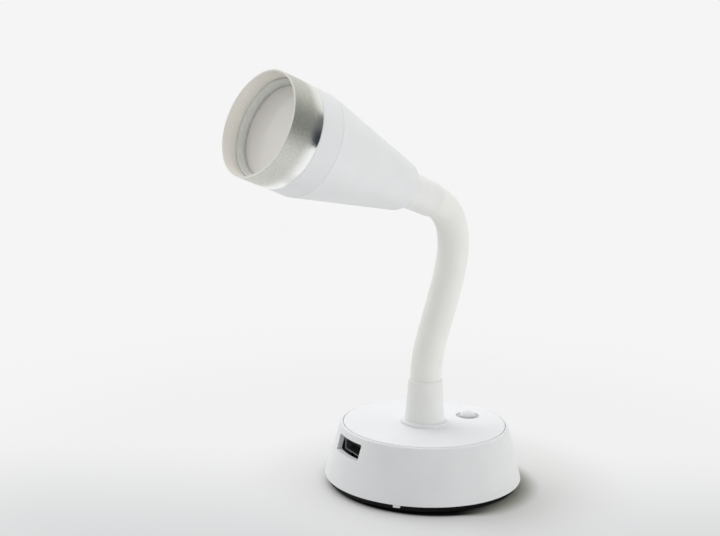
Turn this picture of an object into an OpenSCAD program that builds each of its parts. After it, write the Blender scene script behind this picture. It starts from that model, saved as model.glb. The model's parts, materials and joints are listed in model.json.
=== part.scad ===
// Desk lamp with a short flexible neck, a cone head with an aluminium rim and a
// round base with a USB socket at the front and a push button at the rear.
// The origin is on the base's axis, on the table. The head points towards -Y.

/* [Base] */
// Diameter of the base shell at its lower edge
base_d = 76; // [72:0.5:84]
// How far the shell's side leans in between its lower edge and the top
side_lean = 5.55; // [4.5:0.05:6.5]
// Height of the base's top above the table
base_h = 23.7; // [22:0.1:28]
// Height of the shell's lower edge above the table
shell_lift = 3.2; // [2.6:0.1:4]
// Wall of the base shell
shell_wall = 2; // [1.5:0.1:2.4]
// Radius of the shell's rounded upper edge
shell_edge_r = 0.8; // [0.3:0.1:1]
// Width of the shell's rim around the top plate
shell_rim_w = 0.95; // [0.9:0.05:1.5]
// Width of the ledge that carries the top plate
ledge_w = 2.2; // [1.5:0.1:3]
// Thickness of that ledge
ledge_t = 1.2; // [0.9:0.1:1.4]
// Turn of the base under the neck's plane, in degrees
base_turn = 9; // [-30:1:30]

/* [Top plate] */
// Thickness of the top plate
plate_t = 1.8; // [1.5:0.1:2]
// Seam between the plate and the shell's rim
plate_gap = 0.3; // [0.1:0.05:0.4]
// Width of the bead around the neck's foot
bead_w = 1.15; // [0.6:0.05:1.8]
// Height of that bead
bead_h = 1.3; // [0.4:0.1:1.8]
// Dark gap between the ferrule's foot and the bead
bead_gap = 0.4; // [0.2:0.1:0.6]
// Half the distance between the board posts across the lamp
post_x = 18; // [17:0.5:19]
// Half the distance between the board posts along the lamp
post_y = 12.6; // [12:0.2:14]
// Diameter of a board post
post_d = 5; // [4.4:0.2:5.4]

/* [Bottom] */
// Width of the cover's edge around the non-slip pad
pad_in = 2.4; // [1.5:0.1:4]
// Thickness of the non-slip pad
pad_t = 1.4; // [1:0.1:1.6]
// Depth of the pad's seat in the cover
pad_seat = 0.3; // [0.2:0.1:0.5]
// Width of the step from the shell's lower edge in to the bottom cover
cover_in = 1.4; // [0.8:0.1:1.9]
// Height of the cover's locating lip
cover_lip_h = 2.2; // [1.5:0.1:3]
// Width of that lip
cover_lip_w = 1; // [0.8:0.1:1.2]
// Gap between the steel ballast plate and the screw bosses
ballast_gap = 0.8; // [0.4:0.1:2]
// Distance of the ballast's pegs in from its edge
peg_in = 4.2; // [3:0.1:6]
// Diameter of a ballast peg
peg_d = 2.8; // [2:0.1:3.4]
// Diameter of a screw boss
boss_d = 6; // [5.4:0.1:6.4]
// How far the top of a boss bites into the shell's wall
boss_bite = 1.5; // [1:0.1:1.8]
// Width of the locating key on the shell's lower edge
key_w = 2.6; // [2:0.1:4]
// Direction of that key, in degrees from the base's right
key_angle = -46; // [-80:1:-20]

/* [Power] */
// Length of the battery cell, across the lamp
cell_l = 44; // [40:1:46]
// Width of the battery cell
cell_w = 30; // [24:1:32]
// Thickness of the battery cell
cell_t = 4.2; // [3.5:0.1:4.4]
// Thickness of the foam under the cell
foam_t = 0.5; // [0.3:0.1:0.7]
// Room between the cell and the board's solder side
board_gap = 1.85; // [1.4:0.05:2.5]
// Diameter of the round circuit board
board_d = 54; // [52:0.5:58]
// Thickness of the circuit boards
board_t = 1.6; // [1:0.1:1.6]

/* [USB socket] */
// Room on each side between the socket and its opening in the base shell
port_side = 1.6; // [0.6:0.1:2]
// Room above and below the socket in that opening
port_above = 0.2; // [0.1:0.05:0.4]
// Radius of the opening's corners
port_r = 0.7; // [0.3:0.1:1.2]
// Depth of the socket's mouth behind the shell's outside
mouth_in = 3.04; // [2.8:0.02:4]
// Gap between the socket and the top plate
socket_gap = 0.85; // [0.6:0.05:1.2]
// Width of the socket's steel shell
usb_w = 13.1; // [12.6:0.1:13.6]
// Height of the socket's steel shell
usb_h = 5.7; // [5.4:0.05:5.8]
// Length of the socket's steel shell
usb_l = 14; // [12:0.5:15]
// Sheet of the socket's steel shell
usb_t = 0.3; // [0.2:0.05:0.4]
// Gap on each side between the socket's tongue and its shell
tongue_side = 0.7; // [0.5:0.05:0.9]
// Thickness of the socket's tongue
tongue_t = 1.84; // [1.6:0.02:2]
// Gap between the tongue and the top of the socket's shell
tongue_above = 0.72; // [0.5:0.02:0.9]
// Distance of the tongue's tip behind the mouth
tongue_set = 1.4; // [1:0.1:2]
// Length of the block behind the tongue
block_l = 4; // [3:0.1:5]
// Length of a contact
contact_l = 7; // [6:0.1:7.6]
// Width of a contact
contact_w = 1; // [0.8:0.1:1.2]
// Distance of the two inner contacts from the socket's middle
contact_near = 1; // [0.9:0.05:1.3]
// Distance of the two outer contacts from the socket's middle
contact_far = 3.5; // [3.2:0.05:3.8]

/* [Button] */
// Distance of the button from the lamp's axis
button_r = 20; // [18.5:0.1:20.5]
// Diameter of the button's dome
button_d = 6.5; // [5.4:0.1:7]
// Height of the dome above the top plate
button_h = 1.9; // [1.5:0.1:2.2]
// Width of the dish around the button
dish_w = 1.65; // [1.2:0.05:2.5]
// Depth of that dish
dish_h = 1.1; // [0.7:0.1:1.2]
// Gap between the dome and its hole
button_gap = 0.15; // [0.08:0.01:0.3]
// Travel of the button
button_travel = 1; // [0.5:0.1:1.2]
// Side of the switch's square body
switch_w = 6; // [5:0.1:7]
// Height of the switch's body
switch_h = 3.5; // [3.2:0.1:3.7]
// Diameter of the switch's plunger
plunger_d = 3.4; // [2.6:0.1:4]
// Running gap around the plunger
plunger_gap = 0.08; // [0.04:0.01:0.1]

/* [Neck] */
// Diameter of the silicone sleeve
sleeve_d = 12; // [11.4:0.1:12.4]
// Diameter of the metal conduit inside it
core_d = 8; // [7:0.1:9]
// Bore of the metal conduit
core_bore_d = 4.2; // [3.8:0.1:5]
// Gap between the conduit and the sleeve
core_gap = 0.1; // [0.05:0.05:0.3]
// Distance between two knuckles along the neck
link_l = 10.75; // [10:0.05:13]
// Turn of each stretch of the neck towards the front, in degrees
neck_bends = [-6, -11.6, -1.5, 2.6, 8.1, 22, 36.4, 18];
// How far the ball at a knuckle stands out beyond the sleeve
ball_over = 1; // [0.7:0.1:1.3]
// Gap between a ball and its cup
cup_gap = 0.3; // [0.2:0.05:0.5]
// Diameter of a wire
wire_d = 1.6; // [1:0.1:1.7]
// Half the gap between the two wires
wire_gap = 0.1; // [0.05:0.05:0.2]

/* [Ferrules] */
// Wall of the lower ferrule at its mouth
lower_wall = 0.7; // [0.5:0.05:1]
// How far the lower ferrule widens on each side down to its foot
lower_flare = 1.05; // [0.5:0.05:1.5]
// Height of the lower ferrule above the top plate
lower_l = 17.5; // [16:0.1:22]
// Wall of the upper ferrule at its mouth
upper_wall = 0.55; // [0.4:0.05:0.8]
// How far the upper ferrule widens on each side towards the head
upper_flare = 0.55; // [0.3:0.05:0.8]
// Length of the upper ferrule between its mouth and its shoulder
upper_l = 16.2; // [15.6:0.1:18]
// Length of the rounded lip at a ferrule's mouth
lip_l = 1.6; // [0.6:0.1:2.4]
// Depth of the sleeve in a ferrule
sleeve_in = 12; // [9:0.1:12]
// Depth of the conduit in a ferrule below the sleeve's end
core_in = 2.5; // [1:0.1:3]
// Diameter of a ferrule's threaded tail
tail_d = 9; // [7.5:0.1:9.5]
// Wall of a lock nut at its flats
nut_wall = 1.5; // [1.2:0.1:1.8]
// Height of a lock nut
nut_h = 3; // [2.5:0.1:3.2]
// Thickness of a washer
washer_t = 0.8; // [0.5:0.1:1]
// How far a washer stands out around its nut
washer_out = 1; // [0.6:0.1:1.2]
// Running clearance around the tails, screws and pegs
fit_gap = 0.1; // [0.05:0.05:0.2]

/* [Head] */
// Length of the head from the neck's end to the front rim
head_l = 85.6; // [84:0.1:90]
// Diameter of the head at its front
head_d = 38.7; // [38.2:0.1:40]
// How far the cone's small end stands out around the upper ferrule
cone_step = 1.77; // [1.5:0.01:3]
// Depth of the ferrule's shoulder in the cone's end
seat_depth = 1.2; // [0.8:0.1:1.6]
// Radius of the cone's rounded end
cone_end_r = 4; // [3:0.1:4.4]
// Distance of the seam from the front rim
seam_back = 21.9; // [21:0.1:24]
// Wall of the cone and the front band
head_wall = 2; // [1.6:0.1:2.2]
// Thickness of the wall at the cone's end
end_wall = 3; // [2.5:0.1:3.5]
// Length of the aluminium rim
ring_l = 12.2; // [12:0.1:13]
// How far the aluminium rim stands out beyond the band
ring_proud = 0.05; // [0:0.01:0.3]
// Wall of the aluminium rim
ring_wall = 1.1; // [0.8:0.1:1.3]
// Depth of the retainer's front face behind the rim
retainer_back = 5.4; // [4.6:0.1:5.6]
// Depth of the diffuser behind the rim
diffuser_back = 8.7; // [8.4:0.1:9]
// Thickness of the diffuser
diffuser_t = 1.5; // [1:0.1:1.8]
// Width of the retainer around the diffuser
retainer_w = 1.5; // [1.2:0.1:2]
// Length of the spigot that joins the cone to the band
spigot_l = 5; // [4:0.1:5.6]
// Radial gap of the push-on joints of the head
joint_gap = 0.1; // [0.05:0.05:0.15]

/* [Light] */
// Gap between the LED board and the spigot around it
led_board_gap = 0.35; // [0.2:0.05:0.6]
// Thickness of the heat spreader's plate
spreader_t = 2; // [1.5:0.1:2.4]
// Depth of the heat spreader's skirt
skirt_l = 8; // [5:0.5:10]
// Distance of the LED screws in from the board's edge
led_screw_edge = 1.5; // [1.4:0.05:1.8]
// Number of LED chips in the outer circle
chips_outer = 9; // [6:1:10]
// Distance of the outer chips from the reflector
chips_edge = 0.75; // [0.4:0.05:1.2]
// Number of LED chips in the inner circle
chips_inner = 3; // [2:1:4]
// Length of an LED chip
chip_l = 3.5; // [2.8:0.1:3.6]
// Width of an LED chip
chip_w = 2.8; // [2:0.1:3]
// Height of an LED chip
chip_t = 0.7; // [0.5:0.1:1]

/* [Hidden] */
$fn = 96;
over = 1; // how far a cutter runs past the face it cuts

// ---- base: levels and radii ----
base_r = base_d / 2;
base_top_r = base_r - side_lean;
side_slope = side_lean / (base_h - shell_lift);
side_angle = atan(side_slope);
plate_z = base_h - plate_t;
rim_in_r = base_top_r - shell_rim_w;
plate_r = rim_in_r - plate_gap;
cover_d = base_d - 2 * cover_in;
pad_d = cover_d - 2 * pad_in;
cover_z = pad_t - pad_seat;
floor_z = shell_lift;
// the socket and the board hang from the top, and the ballast fills what is left below them
board_top_z = plate_z - socket_gap - usb_h;
board_z = board_top_z - board_t;
cell_z = board_z - board_gap - cell_t;
ballast_t = cell_z - foam_t - floor_z;
port_z = board_top_z + usb_h / 2;
port_w = usb_w + 2 * port_side;
port_h = usb_h + 2 * port_above;
mouth_r = side_r(port_z) - mouth_in;
tab_side = 2.25; // how far the board's tab stands out beside the socket
tab_back = 3; // how far it ends behind the socket's mouth
board_tab_w = usb_w + 2 * tab_side;
board_tab_y = mouth_r - tab_back;
boss_gap = 1.6; // between a boss and the board above it
boss_top_z = board_z - boss_gap;
boss_r = inside_r(boss_top_z) - boss_d / 2 + boss_bite;
ballast_d = 2 * (boss_r - boss_d / 2 - ballast_gap);
peg_r = ballast_d / 2 - peg_in;
screw_d = 2.6;
screw_head_d = 4.4;
screw_head_h = 1;
screw_in = 6;
screw_ease = 0.02; // how much slimmer a screw is drawn than its hole, on each side
screw_room = 0.5; // below a screw's tip
drive_d = 2.4; // across a screw's cross recess
post_spots = [for (sx = [-1, 1], sy = [-1, 1]) [sx * post_x, sy * post_y]];
boss_angles = [for (i = [0:3]) 45 + 90 * i];

// radius of the shell's outer and inner side at height z
function side_r(z) = base_r - side_slope * (z - shell_lift);
function inside_r(z) = side_r(z) - shell_wall / cos(side_angle);

// ---- button ----
dome_r = button_d / 2;
dome_z = base_h + button_h - dome_r;
dish_d = button_d + 2 * dish_w;
dish_foot_d = button_d + 1.2;
cap_flange_d = button_d + 2.4;
cap_flange_t = 0.7;
cap_rise = 0.3; // between the cap's flange and the top plate
cap_flange_z = plate_z - cap_rise - cap_flange_t;
cap_stem_d = 2.8;
switch_top_z = board_top_z + switch_h;
plunger_up = 0.8;
plunger_in = 1.6;
plunger_room = 0.2; // below the plunger when it is pressed

// ---- neck: stations along the bent axis, each [forward, height, heading] ----
lower_z = base_h;
neck_z = lower_z + lower_l;
last = len(neck_bends) - 1;
ball_r = sleeve_d / 2 + ball_over;
cup_r = ball_r + cup_gap;
sleeve_bore_d = core_d + 2 * core_gap;
wire_off = wire_d / 2 + wire_gap;
wire_hole_r = wire_off + 1.5 * wire_d;
lower_mouth_d = sleeve_d + 2 * lower_wall;
upper_mouth_d = sleeve_d + 2 * upper_wall;
foot_d = lower_mouth_d + 2 * lower_flare;
upper_root_d = upper_mouth_d + 2 * upper_flare;
bead_d = foot_d + 2 * bead_gap + 2 * bead_w;
nut_w = tail_d + 2 * nut_wall;
washer_d = nut_w + 2 * washer_out;
tail_bore_d = core_bore_d;
tail_edge = 0.3;
lip_edge = 0.2; // width left at the top of a ferrule's lip
end_ease = 0.06; // how much slimmer the sleeve, conduit and wires are in a ferrule
end_lap = 0.5; // how far that slimmer end starts inside the full section
tail_in = washer_t + nut_h + 1;

function stretch_l(i) = (i == 0 || i == last) ? link_l / 2 : link_l;
// chord of an arc that is len long and turns by turn
function chord(len, turn) = turn == 0 ? len : len * sin(turn / 2) / (turn / 2 * PI / 180);
function after(s, len, turn) = [
    s[0] + chord(len, turn) * sin(s[2] + turn / 2),
    s[1] + chord(len, turn) * cos(s[2] + turn / 2),
    s[2] + turn
];
function station(i) = i == 0 ? [0, neck_z, 0] : after(station(i - 1), stretch_l(i - 1), neck_bends[i - 1]);

// ---- head: distances along its axis from the neck's end ----
head_r = head_d / 2;
seam_z = head_l - seam_back;
seam_edge = 0.2; // chamfer on both sides of the seam
shoulder_z = upper_l;
cone_start = shoulder_z - seat_depth;
cone_end_r_out = upper_root_d / 2 + cone_step;
cone_slope = (head_r - cone_end_r_out) / (seam_z - cone_start);
cone_angle = atan(cone_slope);
end_in_z = shoulder_z + end_wall;
ring_z = head_l - ring_l;
ring_r = head_r + ring_proud;
ring_in_r = ring_r - ring_wall;
ring_edge = 0.2;
retainer_r = ring_in_r - joint_gap;
view_r = retainer_r - retainer_w; // the diffuser that shows inside the retainer
retainer_step = 0.8;
diffuser_z = head_l - diffuser_back - diffuser_t;
band_in_r = head_r - head_wall;
spigot_r = band_in_r - joint_gap;
spigot_wall = 1;
spigot_in_r = spigot_r - spigot_wall;
led_seat_in = 1.7; // depth of the heat spreader's seat behind the seam
led_seat_z = seam_z - led_seat_in;
led_seat_t = 2;
led_board_r = spigot_in_r - led_board_gap;
led_board_z = led_seat_z + spreader_t;
led_top_z = led_board_z + board_t;
led_screw_r = led_board_r - led_screw_edge;
seat_in_r = led_screw_r - led_screw_edge;
skirt_gap = 0.3;
skirt_wall = 1.2;
skirt_r = seat_in_r - skirt_gap;
led_screw_d = 1.6;
led_screw_head_d = 2.6;
led_screw_head_h = 0.9;
led_screw_in = 3.6;
led_screw_angles = [90, 210, 330];
led_drive_d = 1.4;
reflector_wall = 0.8;
reflector_gap = 0.6; // between the reflector's foot and the screws' heads
reflector_in_r = led_screw_r - led_screw_head_d / 2 - reflector_wall - reflector_gap;
reflector_ease = 0.2; // between the reflector and the diffuser
chips_outer_r = reflector_in_r - chips_edge - chip_l / 2;
chips_inner_r = (chips_outer_r - chip_l / 2) / 2 + chips_edge / 2;

// radius of the cone's outer and inner side at a distance z from the neck's end
function cone_r(z) = head_r - cone_slope * (seam_z - z);
function cone_in_r(z) = cone_r(z) - head_wall / cos(cone_angle);

// ---- helpers ----
// points of an arc about c from angle a0 to a1 in n steps
function arc(c, r, a0, a1, n = 8) = [for (k = [0:n]) c + r * [cos(a0 + (a1 - a0) * k / n), sin(a0 + (a1 - a0) * k / n)]];

module on_base() {
    rotate([0, 0, -base_turn]) children();
}

module at_station(i) {
    s = station(i);
    translate([0, -s[0], s[1]]) rotate([s[2], 0, 0]) children();
}

module on_head() {
    at_station(last + 1) children();
}

// a profile swept along one stretch of the neck; its x lies in the bend, its y across it
module sweep(len, turn) {
    if (turn == 0)
        rotate([0, 0, 90]) linear_extrude(len) children();
    else
        mirror([0, turn < 0 ? 1 : 0, 0])
            translate([0, -bend_r(len, turn), 0])
                rotate([90, 0, 90])
                    rotate_extrude(angle = abs(turn))
                        translate([bend_r(len, turn), 0]) children();
}
function bend_r(len, turn) = len / (abs(turn) * PI / 180);

// one body's share of a profile that runs along the neck: from the cup at its lower
// knuckle to the ball at its upper one. children(0) is the profile, and children(1) the
// slimmer one of the straight end that is tail long inside a ferrule.
module neck_share(i, tail) {
    past_ball = i < last ? ball_r / stretch_l(i) : 0;
    difference() {
        union() {
            at_station(i) sweep(stretch_l(i) * (1 + past_ball), neck_bends[i] * (1 + past_ball)) children(0);
            if (i == 0)
                translate([0, 0, neck_z - tail]) rotate([0, 0, 90]) linear_extrude(tail + end_lap) children(1);
            if (i == last)
                on_head() translate([0, 0, -end_lap]) rotate([0, 0, 90]) linear_extrude(tail + end_lap) children(1);
        }
        if (i < last)
            at_station(i + 1) difference() {
                cylinder(r = 2 * ball_r, h = 2 * ball_r);
                sphere(ball_r);
            }
        if (i > 0)
            at_station(i) sphere(cup_r);
    }
}

module ring_profile(d_out, d_in) {
    difference() {
        circle(d = d_out);
        circle(d = d_in);
    }
}

module tube(d_out, d_in, h) {
    difference() {
        cylinder(d = d_out, h = h);
        translate([0, 0, -over]) cylinder(d = d_in, h = h + 2 * over);
    }
}

// a box centred on x and y whose upright edges are rounded
module rounded_box(w, l, h, r) {
    translate([-w / 2 + r, -l / 2, 0]) cube([w - 2 * r, l, h]);
    translate([-w / 2, -l / 2 + r, 0]) cube([w, l - 2 * r, h]);
    for (sx = [-1, 1], sy = [-1, 1])
        translate([sx * (w / 2 - r), sy * (l / 2 - r), 0]) cylinder(r = r, h = h);
}

// a screw that points up from its head's underside at the origin
module screw(d, head_d, head_h, len, drive_d) {
    difference() {
        union() {
            translate([0, 0, -head_h]) cylinder(d = head_d, h = head_h);
            cylinder(d = d, h = len);
        }
        for (a = [0, 90])
            rotate([0, 0, a])
                translate([-drive_d / 2, -drive_d / 8, -head_h - over])
                    cube([drive_d, drive_d / 4, over + head_h / 2]);
    }
}

module hex_nut() {
    difference() {
        cylinder(d = nut_w / cos(30), h = nut_h, $fn = 6);
        translate([0, 0, -over]) cylinder(d = tail_d + 2 * fit_gap, h = nut_h + 2 * over);
    }
}

// ---- base ----
module foot_pad() {
    color("#1b1b1d") cylinder(d = pad_d, h = pad_t);
}

module bottom_cover() {
    lip_r = inside_r(floor_z + cover_lip_h) - fit_gap;
    color("#141416") on_base() difference() {
        union() {
            translate([0, 0, cover_z]) cylinder(d = cover_d, h = floor_z - cover_z);
            // the locating lip stops on both sides of a boss
            difference() {
                translate([0, 0, floor_z]) tube(2 * lip_r, 2 * (lip_r - cover_lip_w), cover_lip_h);
                for (a = boss_angles)
                    rotate([0, 0, a]) translate([0, -boss_d / 2 - fit_gap, floor_z - over])
                        cube([base_r, boss_d + 2 * fit_gap, cover_lip_h + 2 * over]);
            }
            for (s = [-1, 1])
                translate([0, s * peg_r, floor_z]) cylinder(d = peg_d, h = ballast_t);
        }
        translate([0, 0, cover_z - over]) cylinder(d = pad_d + 2 * fit_gap, h = pad_seat + over);
        for (a = boss_angles)
            rotate([0, 0, a]) translate([boss_r, 0, 0]) {
                cylinder(d = screw_d + 2 * fit_gap, h = floor_z + over);
                cylinder(d = screw_head_d + 2 * fit_gap, h = pad_t + screw_head_h);
            }
        rotate([0, 0, key_angle])
            translate([inside_r(floor_z) - fit_gap, -key_w / 2 - fit_gap, 0])
                cube([base_r, key_w + 2 * fit_gap, floor_z + over]);
    }
}

module ballast_plate() {
    color("#8b9096") on_base() translate([0, 0, floor_z]) difference() {
        cylinder(d = ballast_d, h = ballast_t);
        for (s = [-1, 1])
            translate([0, s * peg_r, -over]) cylinder(d = peg_d + 2 * fit_gap, h = ballast_t + 2 * over);
    }
}

module battery_pad() {
    color("#3c4046") on_base()
        translate([0, 0, cell_z - foam_t]) rounded_box(cell_l - 2, cell_w - 2, foam_t, 1);
}

module battery_cell() {
    color("#b9bec4") on_base() translate([0, 0, cell_z]) rounded_box(cell_l, cell_w, cell_t, 2);
}

module shell_profile() {
    edge_z = base_h - shell_edge_r;
    edge_x = side_r(edge_z) - shell_edge_r / cos(side_angle);
    polygon(concat(
        [[inside_r(shell_lift), shell_lift], [base_r, shell_lift]],
        arc([edge_x, edge_z], shell_edge_r, side_angle, 90, 6),
        [
            [rim_in_r, base_h],
            [rim_in_r, plate_z],
            [rim_in_r - ledge_w, plate_z],
            [rim_in_r - ledge_w, plate_z - ledge_t],
            [inside_r(plate_z - ledge_t), plate_z - ledge_t]
        ]
    ));
}

module base_shell() {
    key_depth = 1.2;
    key_t = 1.5;
    key_root = 0.4;
    color("#eef0f2") on_base() difference() {
        union() {
            rotate_extrude() shell_profile();
            for (a = boss_angles)
                rotate([0, 0, a]) translate([boss_r, 0, floor_z])
                    cylinder(d = boss_d, h = boss_top_z - floor_z);
            rotate([0, 0, key_angle])
                translate([inside_r(shell_lift), -key_w / 2, shell_lift - key_depth])
                    cube([key_t, key_w, key_depth + key_root]);
        }
        for (a = boss_angles)
            rotate([0, 0, a]) translate([boss_r, 0, floor_z - over])
                cylinder(d = screw_d, h = screw_in + over);
        // the opening for the plug, which also notches the ledge over the socket
        translate([0, -base_r, port_z - port_h / 2])
            rotate([-90, 0, 0]) mirror([0, 1, 0]) translate([0, port_h / 2, 0])
                rounded_box(port_w, port_h, base_r - rim_in_r + ledge_w + over, port_r);
    }
}

module bottom_screws() {
    color("#7d8288") on_base() for (a = boss_angles)
        rotate([0, 0, a]) translate([boss_r, 0, pad_t + screw_head_h])
            screw(
                screw_d - 2 * screw_ease, screw_head_d, screw_head_h,
                floor_z - pad_t - screw_head_h + screw_in - screw_room, drive_d
            );
}

module top_plate() {
    bead_r = bead_d / 2;
    bead_in_r = foot_d / 2 + bead_gap;
    color("#f3f4f5") on_base() difference() {
        union() {
            translate([0, 0, plate_z]) cylinder(r = plate_r, h = plate_t);
            // bead around the neck's foot
            rotate_extrude() polygon(concat(
                [[bead_in_r, base_h - over / 2], [bead_r, base_h - over / 2], [bead_r, base_h]],
                [for (k = [1:7]) [
                    (bead_r + bead_in_r) / 2 + (bead_r - bead_in_r) / 2 * cos(180 * k / 8),
                    base_h + bead_h * sin(180 * k / 8)
                ]],
                [[bead_in_r, base_h]]
            ));
            for (p = post_spots)
                translate([p[0], p[1], board_top_z]) cylinder(d = post_d, h = plate_z - board_top_z + plate_t / 2);
        }
        // hole for the ferrule's tail
        translate([0, 0, plate_z - over]) cylinder(d = tail_d + 2 * fit_gap, h = plate_t + 2 * over);
        // dish and hole for the button
        translate([0, button_r, base_h - dish_h])
            cylinder(d1 = dish_foot_d, d2 = dish_d, h = dish_h);
        translate([0, button_r, base_h])
            cylinder(d = dish_d, h = over);
        translate([0, button_r, plate_z - over])
            cylinder(d = button_d + 2 * button_gap, h = plate_t + 2 * over);
        for (p = post_spots)
            translate([p[0], p[1], board_top_z - over]) cylinder(d = screw_d, h = over + screw_in - screw_room);
    }
}

module main_board() {
    color("#2f5d46") on_base() difference() {
        union() {
            translate([0, 0, board_z]) cylinder(d = board_d, h = board_t);
            translate([-board_tab_w / 2, -board_tab_y, board_z]) cube([board_tab_w, board_tab_y, board_t]);
        }
        for (p = post_spots)
            translate([p[0], p[1], board_z - over]) cylinder(d = screw_d + 2 * fit_gap, h = board_t + 2 * over);
    }
}

module board_screws() {
    color("#7d8288") on_base() for (p = post_spots)
        translate([p[0], p[1], board_z])
            screw(
                screw_d - 2 * screw_ease, screw_head_d, screw_head_h,
                board_t + screw_in - 3 * screw_room, drive_d
            );
}

// the socket's parts lie with the mouth at y = 0 and the body running towards +Y
module at_socket() {
    on_base() translate([0, -mouth_r, board_top_z]) children();
}

module usb_shell() {
    color("#c9ccd0") at_socket() difference() {
        translate([-usb_w / 2, 0, 0]) cube([usb_w, usb_l, usb_h]);
        translate([-usb_w / 2 + usb_t, -over, usb_t])
            cube([usb_w - 2 * usb_t, usb_l + over - usb_t, usb_h - 2 * usb_t]);
    }
}

tongue_w = usb_w - 2 * usb_t - 2 * tongue_side;
tongue_z = usb_h - usb_t - tongue_above - tongue_t;
module usb_tongue() {
    color("#202024") at_socket() difference() {
        union() {
            translate([-tongue_w / 2, tongue_set, tongue_z])
                cube([tongue_w, usb_l - usb_t - tongue_set, tongue_t]);
            translate([-usb_w / 2 + usb_t, usb_l - usb_t - block_l, usb_t])
                cube([usb_w - 2 * usb_t, block_l, usb_h - 2 * usb_t]);
        }
        contact_slots(0);
    }
}

contact_t = 0.3;
contact_set = 0.8; // distance of the contacts behind the tongue's tip
// the four contacts, or the slots they lie in, on the tongue's lower face
module contact_slots(shrink) {
    for (x = [-contact_far, -contact_near, contact_near, contact_far])
        translate([x - contact_w / 2 + shrink, tongue_set + contact_set, tongue_z - (shrink > 0 ? 0 : over)])
            cube([contact_w - 2 * shrink, contact_l, contact_t + (shrink > 0 ? 0 : over)]);
}

contact_ease = 0.03; // gap on each side of a contact in its slot
module usb_contacts() {
    color("#cfa64a") at_socket() contact_slots(contact_ease);
}

module at_button() {
    on_base() translate([0, button_r, 0]) children();
}

module switch_body() {
    color("#2a2a2d") at_button() difference() {
        translate([-switch_w / 2, -switch_w / 2, board_top_z]) cube([switch_w, switch_w, switch_h]);
        translate([0, 0, switch_top_z - plunger_in - button_travel - plunger_room])
            cylinder(d = plunger_d + 2 * plunger_gap, h = plunger_in + button_travel + plunger_room + over);
    }
}

module switch_plunger() {
    color("#7a2f2c") at_button() translate([0, 0, switch_top_z - plunger_in])
        cylinder(d = plunger_d, h = plunger_in + plunger_up);
}

module button_cap() {
    color("#dcdce0") at_button() {
        intersection() {
            translate([0, 0, dome_z]) sphere(r = dome_r);
            translate([0, 0, dome_z]) cylinder(r = button_d, h = button_d);
        }
        translate([0, 0, cap_flange_z]) cylinder(d = button_d, h = dome_z - cap_flange_z);
        translate([0, 0, cap_flange_z]) cylinder(d = cap_flange_d, h = cap_flange_t);
        translate([0, 0, switch_top_z + plunger_up])
            cylinder(d = cap_stem_d, h = cap_flange_z - switch_top_z - plunger_up + cap_flange_t / 2);
    }
}

module lower_washer() {
    color("#a7abb0") translate([0, 0, plate_z - washer_t]) tube(washer_d, tail_d + 2 * fit_gap, washer_t);
}

module lower_nut() {
    color("#a7abb0") translate([0, 0, plate_z - washer_t - nut_h]) hex_nut();
}

// a ferrule that stands on its shoulder at the origin with its tail below it
module ferrule(root_d, mouth_d, len, tail_l) {
    root_r = root_d / 2;
    mouth_r = mouth_d / 2;
    lip_t = (mouth_d - sleeve_d) / 2 - lip_edge;
    difference() {
        rotate_extrude() polygon(concat(
            [
                [0, -tail_l],
                [tail_d / 2 - tail_edge, -tail_l],
                [tail_d / 2, -tail_l + tail_edge],
                [tail_d / 2, 0],
                [root_r, 0]
            ],
            [for (a = [0:15:90]) [mouth_r - lip_t * (1 - cos(a)), len - lip_l * (1 - sin(a))]],
            [[0, len]]
        ));
        translate([0, 0, len - sleeve_in]) cylinder(d = sleeve_d + fit_gap, h = sleeve_in + over);
        translate([0, 0, len - sleeve_in - core_in]) cylinder(d = core_d + fit_gap, h = core_in + over);
        translate([0, 0, -tail_l - over]) cylinder(d = tail_bore_d, h = len + tail_l);
    }
}

module lower_ferrule() {
    color("#e9eae8") translate([0, 0, lower_z])
        ferrule(foot_d, lower_mouth_d, lower_l, plate_t + tail_in);
}

// ---- neck ----
module neck_sleeve(i) {
    color("#e6e8e4") neck_share(i, sleeve_in) {
        ring_profile(sleeve_d, sleeve_bore_d);
        ring_profile(sleeve_d - end_ease, sleeve_bore_d + end_ease);
    }
}

module neck_core(i) {
    color("#9a9da1") neck_share(i, sleeve_in + core_in) {
        ring_profile(core_d, core_bore_d);
        ring_profile(core_d - end_ease, core_bore_d + end_ease);
    }
}

module wire_pair(d) {
    for (s = [-1, 1])
        translate([0, s * wire_off]) circle(d = d);
}

module neck_wires(i) {
    to_board = neck_z - board_top_z;
    to_light = led_board_z;
    color("#b3262b") neck_share(i, i == 0 ? to_board : to_light) {
        wire_pair(wire_d);
        wire_pair(wire_d - end_ease);
    }
}

// ---- head ----
module upper_ferrule() {
    color("#e9eae8") on_head() translate([0, 0, shoulder_z]) mirror([0, 0, 1])
        ferrule(upper_root_d, upper_mouth_d, upper_l, end_wall + tail_in);
}

module upper_washer() {
    color("#a7abb0") on_head() translate([0, 0, end_in_z]) tube(washer_d, tail_d + 2 * fit_gap, washer_t);
}

module upper_nut() {
    color("#a7abb0") on_head() translate([0, 0, end_in_z + washer_t]) hex_nut();
}

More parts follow.
